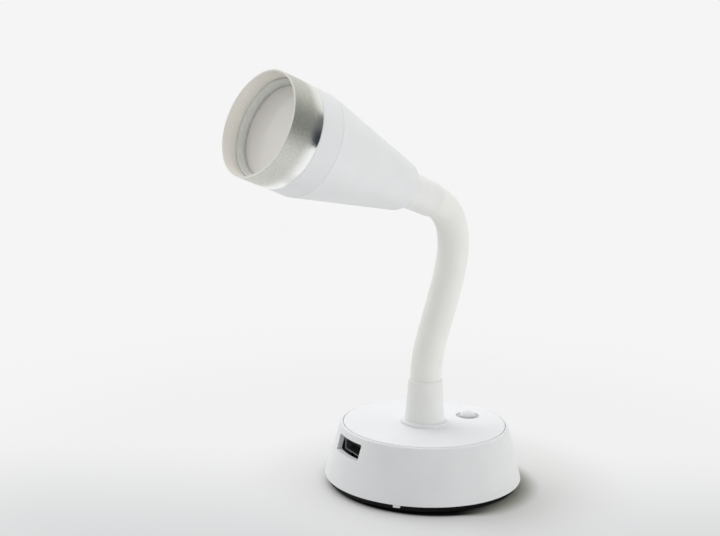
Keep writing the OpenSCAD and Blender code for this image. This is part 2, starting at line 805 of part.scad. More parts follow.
module head_shell() {
    end_c = [cone_r(cone_start + cone_end_r) - cone_end_r / cos(cone_angle), cone_start + cone_end_r];
    seat_z = led_seat_z - led_seat_t;
    spigot_top = seam_z + spigot_l;
    tail_hole_r = tail_d / 2 + fit_gap;
    color("#f1f2f4") on_head() difference() {
        rotate_extrude() polygon(concat(
            [[tail_hole_r, end_in_z]],
            [[tail_hole_r, cone_start]],
            arc(end_c, cone_end_r, -90, -cone_angle, 10),
            [
                [head_r, seam_z - seam_edge],
                [head_r - seam_edge, seam_z],
                [spigot_r, seam_z],
                [spigot_r, spigot_top],
                [spigot_in_r, spigot_top],
                [spigot_in_r, led_seat_z],
                [seat_in_r, led_seat_z],
                [seat_in_r, seat_z],
                [cone_in_r(seat_z), seat_z],
                [cone_in_r(end_in_z), end_in_z]
            ]
        ));
        // seat for the ferrule's shoulder and hole for its tail
        translate([0, 0, cone_start - over]) cylinder(d = upper_root_d + fit_gap, h = shoulder_z - cone_start + over);
        for (a = led_screw_angles)
            rotate([0, 0, a]) translate([led_screw_r, 0, seat_z - over])
                cylinder(d = led_screw_d, h = led_seat_t + 2 * over);
    }
}

module front_band() {
    nose_in_r = view_r + reflector_ease;
    stop_z = seam_z + spigot_l + joint_gap;
    color("#f4f5f6") on_head() rotate_extrude() polygon([
        [band_in_r, seam_z],
        [head_r - seam_edge, seam_z],
        [head_r, seam_z + seam_edge],
        [head_r, ring_z],
        [retainer_r, ring_z],
        [retainer_r, diffuser_z],
        [nose_in_r, diffuser_z],
        [nose_in_r, stop_z],
        [band_in_r, stop_z]
    ]);
}

module rim_ring() {
    color("#b9bdb8") on_head() rotate_extrude() polygon([
        [ring_in_r, ring_z],
        [ring_r - ring_edge, ring_z],
        [ring_r, ring_z + ring_edge],
        [ring_r, head_l - ring_edge],
        [ring_r - ring_edge, head_l],
        [ring_in_r + ring_edge, head_l],
        [ring_in_r, head_l - ring_edge]
    ]);
}

module lens_retainer() {
    step_r = (retainer_r + view_r) / 2;
    front_z = head_l - retainer_back;
    color("#dfe1de") on_head() rotate_extrude() polygon([
        [view_r, diffuser_z + diffuser_t],
        [retainer_r, diffuser_z + diffuser_t],
        [retainer_r, front_z],
        [step_r, front_z],
        [step_r, front_z - retainer_step],
        [view_r, front_z - retainer_step]
    ]);
}

module diffuser() {
    color("#e8e6e4") on_head() translate([0, 0, diffuser_z]) cylinder(r = retainer_r, h = diffuser_t);
}

module reflector() {
    top_r = view_r - reflector_ease;
    top_z = diffuser_z - reflector_ease;
    color("#fafafa") on_head() rotate_extrude() polygon([
        [reflector_in_r, led_top_z],
        [reflector_in_r + reflector_wall, led_top_z],
        [top_r, top_z],
        [top_r - reflector_wall, top_z]
    ]);
}

module led_board() {
    color("#f0f0ee") on_head() translate([0, 0, led_board_z]) difference() {
        cylinder(r = led_board_r, h = board_t);
        for (a = led_screw_angles)
            rotate([0, 0, a]) translate([led_screw_r, 0, -over])
                cylinder(d = led_screw_d + 2 * fit_gap, h = board_t + 2 * over);
    }
}

module led_chips() {
    color("#f2d66b") on_head() translate([0, 0, led_top_z]) {
        for (k = [0:chips_outer - 1])
            rotate([0, 0, 360 * k / chips_outer])
                translate([chips_outer_r - chip_l / 2, -chip_w / 2, 0]) cube([chip_l, chip_w, chip_t]);
        for (k = [0:chips_inner - 1])
            rotate([0, 0, 360 * k / chips_inner + 30])
                translate([chips_inner_r - chip_l / 2, -chip_w / 2, 0]) cube([chip_l, chip_w, chip_t]);
    }
}

module led_screws() {
    color("#7d8288") on_head() for (a = led_screw_angles)
        rotate([0, 0, a]) translate([led_screw_r, 0, led_top_z]) mirror([0, 0, 1])
            screw(
                led_screw_d - 2 * screw_ease, led_screw_head_d, led_screw_head_h,
                led_screw_in + board_t, led_drive_d
            );
}

module heat_spreader() {
    color("#a9adb2") on_head() difference() {
        rotate_extrude() polygon([
            [wire_hole_r, led_seat_z],
            [skirt_r - skirt_wall, led_seat_z],
            [skirt_r - skirt_wall, led_seat_z - skirt_l],
            [skirt_r, led_seat_z - skirt_l],
            [skirt_r, led_seat_z],
            [led_board_r, led_seat_z],
            [led_board_r, led_board_z],
            [wire_hole_r, led_board_z]
        ]);
        for (a = led_screw_angles)
            rotate([0, 0, a]) translate([led_screw_r, 0, led_seat_z - over])
                cylinder(d = led_screw_d + 2 * fit_gap, h = spreader_t + 2 * over);
    }
}

foot_pad();
bottom_cover();
ballast_plate();
battery_pad();
battery_cell();
base_shell();
bottom_screws();
top_plate();
main_board();
board_screws();
usb_shell();
usb_tongue();
usb_contacts();
switch_body();
switch_plunger();
button_cap();
lower_washer();
lower_nut();
lower_ferrule();
neck_sleeve(0);  // neck_sleeve_0
neck_sleeve(1);  // neck_sleeve_1
neck_sleeve(2);  // neck_sleeve_2
neck_sleeve(3);  // neck_sleeve_3
neck_sleeve(4);  // neck_sleeve_4
neck_sleeve(5);  // neck_sleeve_5
neck_sleeve(6);  // neck_sleeve_6
neck_sleeve(7);  // neck_sleeve_7
neck_core(0);  // neck_core_0
neck_core(1);  // neck_core_1
neck_core(2);  // neck_core_2
neck_core(3);  // neck_core_3
neck_core(4);  // neck_core_4
neck_core(5);  // neck_core_5
neck_core(6);  // neck_core_6
neck_core(7);  // neck_core_7
neck_wires(0);  // neck_wires_0
neck_wires(1);  // neck_wires_1
neck_wires(2);  // neck_wires_2
neck_wires(3);  // neck_wires_3
neck_wires(4);  // neck_wires_4
neck_wires(5);  // neck_wires_5
neck_wires(6);  // neck_wires_6
neck_wires(7);  // neck_wires_7
upper_ferrule();
upper_washer();
upper_nut();
head_shell();
front_band();
rim_ring();
lens_retainer();
diffuser();
reflector();
led_board();
led_chips();
led_screws();
heat_spreader();
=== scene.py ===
# %% [markdown]
# # A small gooseneck desk lamp
# This notebook dresses a finished construction model of a desk lamp: a round base, a bending
# neck in a silicone sleeve and a cone head with an aluminium rim. The model is exact, but its
# edges are as sharp as a drawing's, and its soft sleeve is cut into rigid links so that it
# can move. So the cells here turn the main round parts again with the small fillets that a
# mould leaves, remake the sleeve as one skin, and give every part the finish of its real
# material. Places and most sizes come from the model itself.

# %% Load the model
import json
import math

import bmesh
import bpy
from mathutils import Matrix, Vector


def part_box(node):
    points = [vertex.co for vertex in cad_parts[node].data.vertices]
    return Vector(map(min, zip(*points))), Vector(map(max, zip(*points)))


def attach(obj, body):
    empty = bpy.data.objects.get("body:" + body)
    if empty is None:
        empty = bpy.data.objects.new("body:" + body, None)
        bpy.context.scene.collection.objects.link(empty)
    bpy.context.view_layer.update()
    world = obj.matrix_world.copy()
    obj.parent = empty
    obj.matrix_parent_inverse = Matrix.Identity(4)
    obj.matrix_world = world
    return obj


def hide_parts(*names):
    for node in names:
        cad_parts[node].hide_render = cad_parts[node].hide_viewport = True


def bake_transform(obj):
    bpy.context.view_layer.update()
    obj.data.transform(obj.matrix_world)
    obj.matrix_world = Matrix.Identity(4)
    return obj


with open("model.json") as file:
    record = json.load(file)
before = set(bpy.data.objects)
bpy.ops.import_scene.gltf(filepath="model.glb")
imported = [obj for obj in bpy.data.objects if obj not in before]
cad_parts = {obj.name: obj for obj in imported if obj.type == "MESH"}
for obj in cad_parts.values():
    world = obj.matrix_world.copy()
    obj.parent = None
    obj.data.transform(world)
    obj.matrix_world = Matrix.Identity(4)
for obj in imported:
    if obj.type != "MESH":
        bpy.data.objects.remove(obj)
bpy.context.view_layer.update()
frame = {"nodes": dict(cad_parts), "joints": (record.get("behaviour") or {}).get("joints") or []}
nodes = frame["nodes"]
MM = 0.001
UM = 0.001 * MM
SAME = 0.01 * MM  # points closer than this count as level with each other


# %% [markdown]
# ## Two small helpers
# Colours are noted as the hex values that a paint chart gives. Those are sRGB, and Blender
# mixes light in linear values, so one function turns the one into the other. A second
# function adds a node to a tree together with its settings and with what feeds it. It serves
# materials and geometry alike, and hands back the whole node or one of its outputs.

# %% Helpers for colours and nodes
def srgb(code):
    """Linear RGBA of a colour written as '#rrggbb'."""
    channels = [int(code[i : i + 2], 16) / 255 for i in (1, 3, 5)]
    linear = [c / 12.92 if c <= 0.04045 else ((c + 0.055) / 1.055) ** 2.4 for c in channels]
    return (*linear, 1.0)


def add_node(tree, kind, inputs=None, out=None, **settings):
    """Adds a node and returns it, or the output that out names. settings are its properties,
    inputs its values or the sockets that feed it."""
    made = tree.nodes.new(kind)
    for name, value in settings.items():
        setattr(made, name, value)
    for key, value in (inputs or {}).items():
        if isinstance(value, bpy.types.NodeSocket):
            tree.links.new(value, made.inputs[key])
        else:
            made.inputs[key].default_value = value
    return made if out is None else made.outputs[out]


# %% [markdown]
# ## Where the lamp's axes run
# The neck is a chain of arcs that meet at the knuckles, and each arc starts in the direction
# in which the last one ended. So the knuckles' places alone give back the whole centre line:
# the chord from one knuckle to the next lies halfway between the two headings. The head's
# axis runs through the middles of two round plates that sit square in it.

# %% Read the neck and the head from the model
def middle(node):
    """Middle of a node's box."""
    low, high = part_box(node)
    return (low + high) / 2


def heading_of(direction):
    """Angle from straight up towards the front, in radians."""
    return math.atan2(-direction.y, direction.z)


def direction_at(heading):
    """The opposite of heading_of."""
    return Vector((0, -math.sin(heading), math.cos(heading)))


def arc_end(start, heading, length, turn):
    """Where an arc ends that starts at a point with a heading."""
    half = turn / 2
    chord = length * math.sin(half) / half if half else length
    return start + direction_at(heading + half) * chord


knuckles = [Vector(j["pos_m"]) for j in frame["joints"] if j["name"].startswith("knuckle")]
neck_foot = Vector((0, 0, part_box("lower_ferrule")[1].z))
head_axis = (middle("diffuser") - middle("led_board")).normalized()

stretches = []
start, heading = neck_foot, 0.0
for knuckle in knuckles:
    chord = knuckle - start
    turn = 2 * (heading_of(chord) - heading)
    length = chord.length * (turn / 2) / math.sin(turn / 2) if turn else chord.length
    stretches.append({"start": start, "heading": heading, "length": length, "turn": turn})
    start, heading = knuckle, heading + turn
last_stretch = {"start": start, "heading": heading, "length": stretches[0]["length"]}
last_stretch["turn"] = heading_of(head_axis) - heading
stretches.append(last_stretch)

neck_length = sum(s["length"] for s in stretches)
knuckle_at = [sum(s["length"] for s in stretches[: i + 1]) for i in range(len(knuckles))]
print("the neck is", round(neck_length / MM, 2), "mm long and has", len(knuckles), "knuckles")


def on_neck(distance):
    """Point and heading on the centre line, at a distance from the neck's foot. The line runs
    on straight below the foot and past the neck's end."""
    left = min(max(distance, 0), neck_length)
    for s in stretches:
        if left <= s["length"] or s is last_stretch:
            share = left / s["length"]
            point = arc_end(s["start"], s["heading"], left, s["turn"] * share)
            facing = s["heading"] + s["turn"] * share
            break
        left -= s["length"]
    past = min(distance, 0) + max(distance - neck_length, 0)
    return point + direction_at(facing) * past, facing


def placed_at(point, heading):
    """Matrix that stands a piece on a point with its z axis along a heading."""
    along = direction_at(heading)
    across = Vector((1, 0, 0))
    turned = Matrix((across, along.cross(across), along)).transposed().to_4x4()
    return Matrix.Translation(point) @ turned


on_base = Matrix.Identity(4)
on_head = placed_at(*on_neck(neck_length))


# %% [markdown]
# ## Sizes along an axis
# Nearly every part of this lamp is round, so two pairs of numbers say most about it: from
# where to where it reaches along its axis, and between which radii it lies.

# %% Measure a round part
def reach(node, place):
    """(lowest z, highest z, smallest radius, largest radius) of a node about an axis."""
    back = place.inverted()
    points = [back @ v.co for v in nodes[node].data.vertices]
    heights = [p.z for p in points]
    radii = [p.xy.length for p in points]
    return min(heights), max(heights), min(radii), max(radii)


for node in ("rim_ring", "lens_retainer", "diffuser", "head_shell", "front_band"):
    print(node, [round(v / MM, 2) for v in reach(node, on_head)])


# %% [markdown]
# ## A finish to start from
# Each finish is one principled shader and a few patterns that feed it. The patterns read
# Object coordinates, in metres, so their scale is one over a real size. No surface is quite
# even: the way it was made leaves a fine grain, its gloss wanders a little, and the colour of a
# large moulding drifts between two near tones. A real grain is under a tenth of a millimetre
# across. That is too fine to show from where the lamp is seen, so it is drawn coarser here.

# %% Start a finish
NOISE_LOW, NOISE_HIGH = 0.3, 0.7  # nearly all noise lies between these
GLOSS_PATCH = 12 * MM
finishes = {}


def wander(tree, size, low, high):
    """A number that wanders from low to high in blotches about size metres across."""
    where = add_node(tree, "ShaderNodeTexCoord", out="Object")
    noise = add_node(tree, "ShaderNodeTexNoise", {"Vector": where, "Scale": 1 / size}, "Fac")
    span = {"From Min": NOISE_LOW, "From Max": NOISE_HIGH, "To Min": low, "To Max": high}
    return add_node(tree, "ShaderNodeMapRange", {"Value": noise, **span}, "Result")


def new_finish(slot, name, colour, gloss, grain, height, metallic=0.0, ior=1.5, drift=None):
    """Makes the material of one of the record's slots, and returns its tree and its shader.
    gloss is the range of its roughness, grain and height are the size of its bumps in metres,
    and drift is a second tone with the size of its patches. A colour or a gloss that is None
    is fed to the shader later."""
    material = bpy.data.materials.new(name)
    material.use_nodes = True
    tree = material.node_tree
    tree.nodes.clear()
    where = add_node(tree, "ShaderNodeTexCoord", out="Object")
    bumps = add_node(
        tree, "ShaderNodeTexNoise", {"Vector": where, "Scale": 1 / grain, "Detail": 3.0}, "Fac"
    )
    relief = add_node(tree, "ShaderNodeBump", {"Height": bumps, "Distance": height}, "Normal")
    inputs = {"Metallic": metallic, "IOR": ior, "Normal": relief}
    if gloss:
        inputs["Roughness"] = wander(tree, GLOSS_PATCH, *gloss)
    if colour:
        inputs["Base Color"] = srgb(colour)
    if drift:
        second, patch = drift
        tones = {"Factor": wander(tree, patch, 0, 1), "A": srgb(colour), "B": srgb(second)}
        inputs["Base Color"] = add_node(tree, "ShaderNodeMix", tones, "Result", data_type="RGBA")
    shader = add_node(tree, "ShaderNodeBsdfPrincipled", inputs)
    add_node(tree, "ShaderNodeOutputMaterial", {"Surface": shader.outputs["BSDF"]})
    finishes[slot] = material
    return tree, shader


# %% Pale plastics and rubber
# A mould with an eroded skin leaves a fine grain, which spreads light into a broad soft sheen.
new_finish("white_abs", "satin moulded white ABS", "#e7e9ea", (0.38, 0.46), 0.35 * MM, 4 * UM,
           ior=1.53, drift=("#ebedee", 14 * MM))
# A shallower grain than the shell's, so the plate catches a slightly tighter light.
new_finish("white_abs_gloss", "fine-textured moulded white ABS", "#e8eaec", (0.37, 0.44),
           0.25 * MM, 1 * UM, ior=1.53, drift=("#ecedef", 14 * MM))
# Soft rubber takes a matt skin from its mould, and looks creamy beside the hard plastic.
new_finish("sleeve_silicone", "translucent white silicone rubber", "#eff0eb", (0.46, 0.56),
           0.3 * MM, 5 * UM, ior=1.41, drift=("#f3f3ee", 10 * MM))
# The shell's satin sheen on a slightly warmer white.
new_finish("ferrule_abs", "satin moulded off-white ABS", "#ecedea", (0.36, 0.44), 0.35 * MM,
           4 * UM, ior=1.53, drift=("#f0f1ee", 8 * MM))
# Nearly smooth and a touch greyer than the cone, so it draws a ring around the light.
new_finish("retainer_abs", "pale grey moulded ABS", "#e4e6e1", (0.34, 0.38), 0.35 * MM,
           0.2 * UM, ior=1.53)

# %% Dark plastics and rubber
# A deep grain swallows reflections, so the cover reads as one flat black band.
_, shader = new_finish("black_abs", "textured black ABS", "#030303", (0.45, 0.58), 0.3 * MM,
                       10 * UM, ior=1.53)
shader.inputs["Specular IOR Level"].default_value = 0.15
# Moulded rubber has a crumbly skin with hardly any sheen.
new_finish("pad_rubber", "black nitrile rubber", "#161617", (0.7, 0.82), 0.6 * MM, 30 * UM,
           ior=1.52)
# Dull and almost black, so the opening reads as a hole.
_, shader = new_finish("socket_plastic", "black moulded nylon", "#030304", (0.55, 0.65),
                       0.2 * MM, 4 * UM, ior=1.53)
shader.inputs["Specular IOR Level"].default_value = 0.2

# %% Metals
# Tin plate is bright but a little cloudy, and draws a soft line of light around the opening.
new_finish("socket_steel", "tin-plated steel sheet", "#c3c5c8", (0.25, 0.36), 0.3 * MM,
           2 * UM, metallic=1.0)
# Barrel plating leaves a bluish grey with a soft shine.
new_finish("screw_steel", "zinc-plated steel", "#a9acb0", (0.28, 0.4), 0.2 * MM, 3 * UM,
           metallic=1.0)
# Zinc on rolled strip is duller, and each wind catches a line of light of its own.
new_finish("conduit_steel", "wound galvanised steel strip", "#9fa2a6", (0.32, 0.44), 0.4 * MM,
           4 * UM, metallic=1.0)
# A punched plate keeps the mill's cloudy patches under its zinc.
new_finish("ballast_steel", "punched zinc-plated steel plate", "#989da3", (0.34, 0.46),
           0.5 * MM, 4 * UM, metallic=1.0)
# Pressing leaves a pale, even and half matt metal.
new_finish("spreader_aluminium", "pressed aluminium", "#b4b7ba", (0.3, 0.42), 0.4 * MM, 3 * UM,
           metallic=1.0)
# Foil lies in soft wrinkles at its real size, which break up its shine.
new_finish("cell_foil", "laminated aluminium foil", "#b4b8bd", (0.28, 0.4), 1.5 * MM, 20 * UM,
           metallic=1.0)
# Thin gold over bronze gives a warm, tight shine.
new_finish("contact_gold", "gold-plated phosphor bronze", "#d9b25a", (0.18, 0.26), 0.2 * MM,
           1 * UM, metallic=1.0)

# %% Parts around the light
# Acrylic is white in its depth under a clear polished skin, with faint waves from the mould.
_, shader = new_finish("diffuser_pmma", "opal acrylic", "#f6f3ef", (0.02, 0.04), 6 * MM,
                       2 * UM, ior=1.49)
shader.inputs["Coat Weight"].default_value = 1.0
shader.inputs["Coat Roughness"].default_value = 0.02
# White all through and fairly glossy, so that it throws the light forward.
new_finish("reflector_white", "white moulded polycarbonate", "#f2f2f2", (0.17, 0.24), 0.5 * MM,
           1 * UM, ior=1.58)
# A printed lacquer flows out smooth and stays a little glossy.
new_finish("led_board_white", "white solder mask", "#efefec", (0.26, 0.34), 0.4 * MM, 2 * UM,
           ior=1.55)
# Yellow powder shows through clear rubber that looks wet.
new_finish("led_phosphor", "phosphor in clear silicone", "#e3c65a", (0.16, 0.24), 0.15 * MM,
           2 * UM, ior=1.41)

# %% Inner parts
# Lacquer over copper gives a deep green with an even gloss.
new_finish("board_green", "green solder mask", "#2f6a4b", (0.26, 0.36), 0.5 * MM, 3 * UM,
           ior=1.55)
# Foam has no shine, only the pits of its cut cells.
new_finish("foam", "closed-cell foam tape", "#3c4046", (0.85, 0.95), 0.4 * MM, 30 * UM)
# Glass fibres just under the skin dull its shine.
new_finish("switch_plastic", "black glass-filled nylon", "#1c1c1e", (0.45, 0.55), 0.25 * MM,
           5 * UM, ior=1.53)
# Acetal looks waxy, with a soft shine.
new_finish("plunger_plastic", "red-brown acetal", "#7a2f2c", (0.3, 0.4), 0.25 * MM, 2 * UM,
           ior=1.48)
# A drawn sheath is smooth and half glossy, in a full colour.
new_finish("wire_pvc", "red PVC sheath", "#a3282c", (0.36, 0.46), 0.3 * MM, 3 * UM, ior=1.53)

# %% The rim's aluminium
# Blasting spreads the light over the metal. It fades out towards the seam, where turned metal
# still mirrors the room, and is half as strong on the front edge. The inner wall is lacquered
# white, so it isn't a metal to the eye.
BLAST_STARTS = 0.2 * MM
BLAST_FULL = 5.4 * MM
EDGE_STARTS = 0.3 * MM
EDGE_FULL = 0.1 * MM
LACQUER_FULL = 0.6 * MM
LACQUER_ENDS = 0.5 * MM
EDGE_BLAST = 0.5
GRIT = 0.6 * MM  # real grit leaves pits a tenth as wide, too fine to show
tree, shader = new_finish("ring_aluminium", "blasted anodised aluminium", None, None, 0.45 * MM,
                          12 * UM)
ring_low, ring_high, _, ring_outer = reach("rim_ring", on_head)
in_head = add_node(
    tree,
    "ShaderNodeMapping",
    {
        "Vector": add_node(tree, "ShaderNodeTexCoord", out="Object"),
        "Location": on_head.translation,
        "Rotation": on_head.to_euler(),
    },
    "Vector",
    vector_type="TEXTURE",
)
along = add_node(tree, "ShaderNodeSeparateXYZ", {"Vector": in_head}, "Z")
across = add_node(
    tree, "ShaderNodeVectorMath", {0: in_head, 1: (1.0, 1.0, 0.0)}, "Vector", operation="MULTIPLY"
)
radius = add_node(tree, "ShaderNodeVectorMath", {0: across}, "Value", operation="LENGTH")
span = {"From Min": ring_low + BLAST_STARTS, "From Max": ring_low + BLAST_FULL, "Value": along}
past_seam = add_node(tree, "ShaderNodeMapRange", span, "Result", interpolation_type="SMOOTHSTEP")
span = {"From Min": ring_high - EDGE_STARTS, "From Max": ring_high - EDGE_FULL, "Value": along}
span = {**span, "To Min": 1.0, "To Max": EDGE_BLAST}
at_edge = add_node(tree, "ShaderNodeMapRange", span, "Result")
pair = {0: past_seam, 1: at_edge}
blasted = add_node(tree, "ShaderNodeMath", pair, "Value", operation="MULTIPLY")
span = {"From Min": ring_outer - LACQUER_FULL, "From Max": ring_outer - LACQUER_ENDS}
metal = add_node(tree, "ShaderNodeMapRange", {**span, "Value": radius}, "Result")


def rim_value(kind, polished, rough, lacquered):
    """Mixes the values of the rim's three zones."""
    zones = {"Factor": blasted, "A": polished, "B": rough}
    bare_metal = add_node(tree, "ShaderNodeMix", zones, "Result", data_type=kind)
    zones = {"Factor": metal, "A": lacquered, "B": bare_metal}
    return add_node(tree, "ShaderNodeMix", zones, "Result", data_type=kind)


grit_tones = {"Factor": wander(tree, GRIT, 0, 1), "A": srgb("#cbccc5"), "B": srgb("#dfe0d9")}
grit_tone = add_node(tree, "ShaderNodeMix", grit_tones, "Result", data_type="RGBA")
rim_roughness = rim_value("FLOAT", 0.18, wander(tree, GRIT, 0.44, 0.56), 0.6)
rim_tone = rim_value("RGBA", srgb("#f6f7f5"), grit_tone, srgb("#f6f3ec"))
tree.links.new(rim_roughness, shader.inputs["Roughness"])
tree.links.new(rim_tone, shader.inputs["Base Color"])
tree.links.new(metal, shader.inputs["Metallic"])

# %% The button's acrylic
# The dome is thick and milky. The flat ring around it is a darker grey all round, which is
# painted shade around the foot of the dome.
DOME_RADIUS = 3.1 * MM
RING_SHADE_FROM = DOME_RADIUS + 0.2 * MM
tree, shader = new_finish("button_silicone", "milky translucent acrylic", None, (0.22, 0.3),
                          0.5 * MM, 2 * UM, ior=1.49)
button_middle = Vector((*middle("button_cap").xy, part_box("top_plate")[1].z))
from_button = add_node(
    tree,
    "ShaderNodeVectorMath",
    {0: add_node(tree, "ShaderNodeTexCoord", out="Object"), 1: button_middle},
    "Value",
    operation="DISTANCE",
)
past_dome = {"Value": from_button, "From Min": DOME_RADIUS, "From Max": RING_SHADE_FROM}
in_ring_shade = add_node(tree, "ShaderNodeMapRange", past_dome, "Result")
# The ring's grey is painted shade, not the acrylic's own colour.
dome_and_ring_shade_tones = {"Factor": in_ring_shade, "A": srgb("#e2e1e5"), "B": srgb("#b7b9b8")}
dome_and_ring_shade_tone = add_node(tree, "ShaderNodeMix", dome_and_ring_shade_tones, "Result", data_type="RGBA")
tree.links.new(dome_and_ring_shade_tone, shader.inputs["Base Color"])

# %% Give every node the finish of its slot
for node in nodes.values():
    for place in node.material_slots:
        place.material = finishes[place.material.name.split(".")[0]]


# %% [markdown]
# ## Turned parts
# A round part is a closed outline of (radius, height) points swept once around its axis. A
# Geometry Nodes tree does that: it makes a flat grid, one column for each point of the
# outline and one row for each step of the turn, and then puts each point where its column
# and row say. Merging by distance closes the seam and any point on the axis. A corner of
# the outline gets a fillet, and one more point a little way along each straight side. That
# keeps the smooth shading of the fillet from spreading over the flat next to it.

# %% Outlines with fillets
FILLET_STEPS = 6
HAIR = 0.1 * MM  # the smallest fillet that still catches light


def rounded(corners):
    """Outline points of a closed polygon of (radius, height, fillet) corners."""
    points = []
    count = len(corners)
    for i, (x, y, fillet) in enumerate(corners):
        here = Vector((x, y))
        before = Vector(corners[i - 1][:2]) - here
        after = Vector(corners[(i + 1) % count][:2]) - here
        if not fillet:
            points.append(here)
            continue
        opening = before.angle(after)
        trim = fillet / math.tan(opening / 2)
        guard = trim + fillet / 2
        to_middle = (before.normalized() + after.normalized()).normalized()
        centre = here + to_middle * fillet / math.sin(opening / 2)
        first = (here + before.normalized() * trim - centre).normalized()
        last = (here + after.normalized() * trim - centre).normalized()
        if guard < before.length / 2:
            points.append(here + before.normalized() * guard)
        for k in range(FILLET_STEPS + 1):
            points.append(centre + first.slerp(last, k / FILLET_STEPS) * fillet)
        if guard < after.length / 2:
            points.append(here + after.normalized() * guard)
    return points


# %% Trees that make a shape
def open_shape_tree(name, **inputs):
    """Starts a Geometry Nodes tree with named inputs, and returns it with their sockets."""
    tree = bpy.data.node_groups.new(name, "GeometryNodeTree")
    for label, kind in inputs.items():
        tree.interface.new_socket(label, in_out="INPUT", socket_type=f"NodeSocket{kind}")
    tree.interface.new_socket("Geometry", in_out="OUTPUT", socket_type="NodeSocketGeometry")
    return tree, add_node(tree, "NodeGroupInput").outputs


def close_shape_tree(tree, geometry, finish):
    """Ends a tree: makes its shape real and gives it its finish."""
    real = add_node(tree, "GeometryNodeRealizeInstances", {"Geometry": geometry}, "Geometry")
    dressing = {"Geometry": real, "Material": finish}
    dressed = add_node(tree, "GeometryNodeSetMaterial", dressing, "Geometry")
    add_node(tree, "NodeGroupOutput", {"Geometry": dressed})


def turning_tree():
    """Geometry Nodes tree that sweeps an outline around the z axis."""
    tree, given = open_shape_tree(
        "turn an outline", Outline="Object", Points="Int", Steps="Int", Finish="Material"
    )
    sizes = {"Size X": 1.0, "Size Y": 2 * math.pi}
    counts = {"Vertices X": given["Points"], "Vertices Y": given["Steps"]}
    grid = add_node(tree, "GeometryNodeMeshGrid", {**sizes, **counts}, "Mesh")
    outline = add_node(tree, "GeometryNodeObjectInfo", {"Object": given["Outline"]}, "Geometry")
    spot = add_node(tree, "GeometryNodeInputPosition", out="Position")
    column_row = add_node(tree, "ShaderNodeSeparateXYZ", {"Vector": spot}).outputs
    share = add_node(tree, "ShaderNodeMath", {0: column_row["X"], 1: 0.5}, "Value", operation="ADD")
    spans = add_node(
        tree, "ShaderNodeMath", {0: given["Points"], 1: 1.0}, "Value", operation="SUBTRACT"
    )
    column = add_node(tree, "ShaderNodeMath", {0: share, 1: spans}, "Value", operation="MULTIPLY")
    index = add_node(tree, "ShaderNodeMath", {0: column}, "Value", operation="ROUND")
    sampled = {"Geometry": outline, "Value": spot, "Index": index}
    point = add_node(tree, "GeometryNodeSampleIndex", sampled, "Value", data_type="FLOAT_VECTOR")
    turn = {"Vector": point, "Angle": column_row["Y"]}
    turned = add_node(tree, "ShaderNodeVectorRotate", turn, "Vector", rotation_type="Z_AXIS")
    placing = {"Geometry": grid, "Position": turned}
    moved = add_node(tree, "GeometryNodeSetPosition", placing, "Geometry")
    closing = {"Geometry": moved, "Distance": 1 * UM}
    closed = add_node(tree, "GeometryNodeMergeByDistance", closing, "Geometry")
    close_shape_tree(tree, closed, given["Finish"])
    return tree


# %% Run a tree
def applied(piece):
    """The mesh of a piece with its modifiers applied, which are then removed."""
    bpy.context.view_layer.update()
    evaluated = piece.evaluated_get(bpy.context.evaluated_depsgraph_get())
    mesh = bpy.data.meshes.new_from_object(evaluated)
    piece.modifiers.clear()
    return mesh


def grown(name, tree, inputs, mesh=None):
    """Runs a Geometry Nodes tree on an empty or given mesh and returns the plain result."""
    carrier = bpy.data.objects.new(name, mesh or bpy.data.meshes.new(name))
    bpy.context.scene.collection.objects.link(carrier)
    modifier = carrier.modifiers.new("grow", "NODES")
    modifier.node_group = tree
    for socket in tree.interface.items_tree:
        if socket.name in inputs:
            modifier[socket.identifier] = inputs[socket.name]
    plain = applied(carrier)
    plain.name = name
    carrier.data = plain
    return carrier


def finish_mesh(mesh, slot):
    """Turns the faces outwards, shades them smooth and gives them one finish."""
    work = bmesh.new()
    work.from_mesh(mesh)
    bmesh.ops.recalc_face_normals(work, faces=work.faces)
    for face in work.faces:
        face.smooth = True
    work.to_mesh(mesh)
    work.free()
    if mesh.has_custom_normals:
        mesh.attributes.remove(mesh.attributes["custom_normal"])
    mesh.materials.clear()
    mesh.materials.append(finishes[slot])


turn_outline = turning_tree()


def turned_part(name, outline, slot, place, steps=192, closed=True):
    """Turns a piece from (radius, height) points, with its faces pointing outwards."""
    points = outline + outline[:1] if closed else outline
    guide_mesh = bpy.data.meshes.new("guide")
    guide_mesh.from_pydata([(p[0], 0, p[1]) for p in points], [], [])
    guide = bpy.data.objects.new("guide", guide_mesh)
    bpy.context.scene.collection.objects.link(guide)
    inputs = {"Outline": guide, "Points": len(points), "Steps": steps + 1}
    piece = grown(name, turn_outline, {**inputs, "Finish": finishes[slot]})
    bpy.data.objects.remove(guide)
    finish_mesh(piece.data, slot)
    piece.data.transform(place)
    return piece


# %% [markdown]
# ## The aluminium rim
# The rim is a short piece of turned tube that slides over the front of the head. Its bore
# flares towards the front, which leaves a thin lip, and its edges are broken by a small
# fillet, which catches a thin line of light all round.

# %% Turn the rim
RIM_REACH = 0.7 * MM
RIM_EDGE = 0.22 * MM
LIP = 0.55 * MM
LIP_DEPTH = 2.5 * MM
low, high, bore, outer = reach("rim_ring", on_head)
low -= RIM_REACH
rim_outline = [
    (bore, low, 0),
    (outer, low, 1.3 * RIM_EDGE),
    (outer, high, RIM_EDGE),
    (outer - LIP, high, 0.6 * RIM_EDGE),
    (bore, high - LIP_DEPTH, RIM_EDGE),
]
rim = turned_part("rim", rounded(rim_outline), "ring_aluminium", on_head)
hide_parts("rim_ring")
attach(rim, "head")


# %% [markdown]
# ## The top plate
# The plate stands a hair proud of the shell, with a fine shallow groove around it, and carries
# a collar on the neck's foot and a dish around the button. The collar is solid from the neck's
# hole outwards, where the model leaves room for the ferrule's foot, so that foot cuts into it.
# The dish sits beside the axis, so turning alone can't make it. The plate is turned first, and
# a turned cutter is then taken away from it. The posts below, which hold the circuit board, are
# copied from the model and end against the plate without being joined to it.

